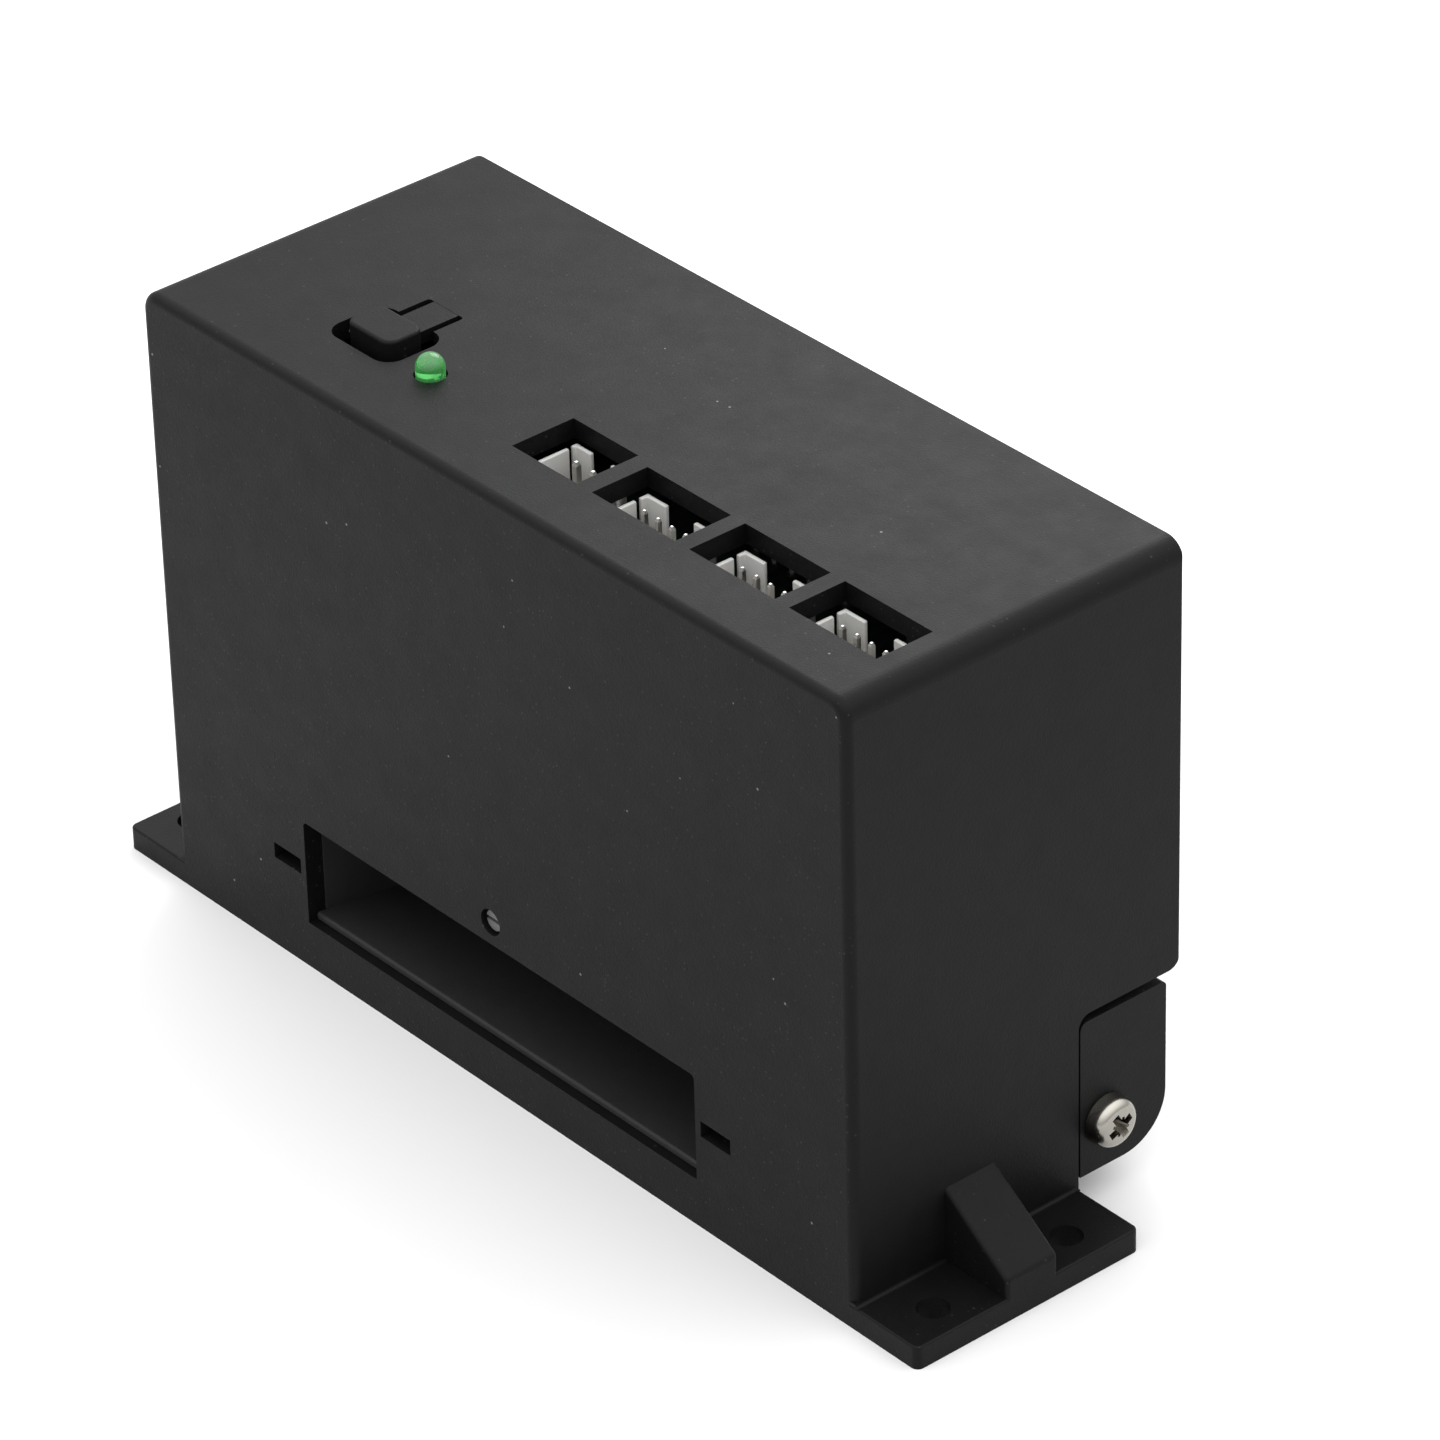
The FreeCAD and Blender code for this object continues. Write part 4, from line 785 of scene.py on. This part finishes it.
class MODULE_OT_stage(bpy.types.Operator):
    """Make the camera, the floor and the soft studio light"""

    bl_idname = "module.stage"
    bl_label = "Stage"

    def execute(self, context):
        stage = context.scene.module_stage
        context.scene.view_settings.view_transform = "Standard"
        self.camera(context, stage)
        self.floor(context, stage)
        self.sky(context, stage)
        self.panel(context, stage)
        return {"FINISHED"}

    def camera(self, context, stage):
        """The camera, turned to its azimuth, elevation and roll."""
        az, el = stage.azimuth, stage.elevation
        back = Vector((math.sin(az) * math.cos(el), -math.cos(az) * math.cos(el), math.sin(el)))
        right = Vector((0, 0, 1)).cross(back).normalized()
        up = back.cross(right)
        turn = Matrix((right, up, back)).transposed().to_4x4()
        data = bpy.data.cameras.new("camera")
        data.lens = stage.lens
        data.clip_start = CLIP_START
        camera = bpy.data.objects.new("camera", data)
        camera.matrix_world = Matrix.Translation(stage.place) @ turn @ Matrix.Rotation(stage.roll, 4, "Z")
        context.scene.collection.objects.link(camera)
        context.scene.camera = camera

    def floor(self, context, stage):
        """A plain pale floor."""
        bm = bmesh.new()
        bmesh.ops.create_grid(bm, x_segments=1, y_segments=1, size=stage.floor / 2)
        mesh = bpy.data.meshes.new("floor")
        bm.to_mesh(mesh)
        bm.free()
        pale = Finish("floor_pale", Roughness=0.9, Specular_IOR_Level=0.0, Emission_Strength=FLOOR_GLOW)
        pale.set(Base_Color=pale.mix(pale.noise(FLOOR_CLOUD), *[grey(level) for level in FLOOR_GREYS]))
        mesh.materials.append(pale.material)
        floor = bpy.data.objects.new("floor", mesh)
        context.scene.collection.objects.link(floor)

    def sky(self, context, stage):
        """An even surrounding light, dimmer near the horizon."""
        world = bpy.data.worlds.new("studio")
        world.use_nodes = True
        context.scene.world = world
        graph = Graph(world.node_tree)
        place = graph.node("ShaderNodeTexCoord", output="Generated")
        height = graph.node("ShaderNodeSeparateXYZ", inputs={"Vector": place}, output="Z")
        light = graph.tree.nodes["Background"]
        rise = graph.ease(height, 0.0, SKY_FULL_HEIGHT)
        feed(graph.tree, light.inputs["Color"], graph.mix(rise, grey(SKY_AT_HORIZON), grey(1.0)))
        feed(graph.tree, light.inputs["Strength"], stage.sky)

    def panel(self, context, stage):
        """A soft panel behind the module, which brightens the right-hand end of its top."""
        data = bpy.data.lights.new("panel", "AREA")
        data.shape = "DISK"
        data.size = stage.panel_size
        data.energy = stage.panel
        lamp = bpy.data.objects.new("panel", data)
        lamp.location = stage.panel_place
        lamp.rotation_euler = Vector(lamp.location).to_track_quat("Z", "Y").to_euler()
        context.scene.collection.objects.link(lamp)


class MODULE_PT_panel(bpy.types.Panel):
    """Lists the module's pieces and settings."""

    bl_idname = "MODULE_PT_panel"
    bl_label = "Stepper driver module"
    bl_space_type = "VIEW_3D"
    bl_region_type = "UI"
    bl_category = "Module"

    def draw(self, context):
        scene = context.scene
        for kind in OPERATORS:
            self.layout.operator(kind.bl_idname)
        for setting in SETTINGS:
            group = getattr(scene, setting)
            box = self.layout.box()
            for name in group.__annotations__:
                box.prop(group, name)


SETTINGS = {
    "module_case": CaseSettings,
    "module_screws": ScrewSettings,
    "module_lamp": LampSettings,
    "module_board": BoardSettings,
    "module_stage": StageSettings,
}
OPERATORS = (
    MODULE_OT_stage,
    MODULE_OT_case,
    MODULE_OT_side_screws,
    MODULE_OT_lamp,
    MODULE_OT_headers,
    MODULE_OT_boards,
    MODULE_OT_switch,
    MODULE_OT_board_parts,
    MODULE_OT_trimmer,
    MODULE_OT_terminals,
)


def register():
    """Registers the settings, operators and panel."""
    for name, group in SETTINGS.items():
        bpy.utils.register_class(group)
        setattr(bpy.types.Scene, name, PointerProperty(type=group))
    for kind in (*OPERATORS, MODULE_PT_panel):
        bpy.utils.register_class(kind)


def unregister():
    """Removes what register added."""
    for kind in (MODULE_PT_panel, *reversed(OPERATORS)):
        bpy.utils.unregister_class(kind)
    for name, group in SETTINGS.items():
        delattr(bpy.types.Scene, name)
        bpy.utils.unregister_class(group)


def main():
    register()
    for kind in OPERATORS:
        group, name = kind.bl_idname.split(".")
        getattr(getattr(bpy.ops, group), name)()


if __name__ == "__main__":
    main()
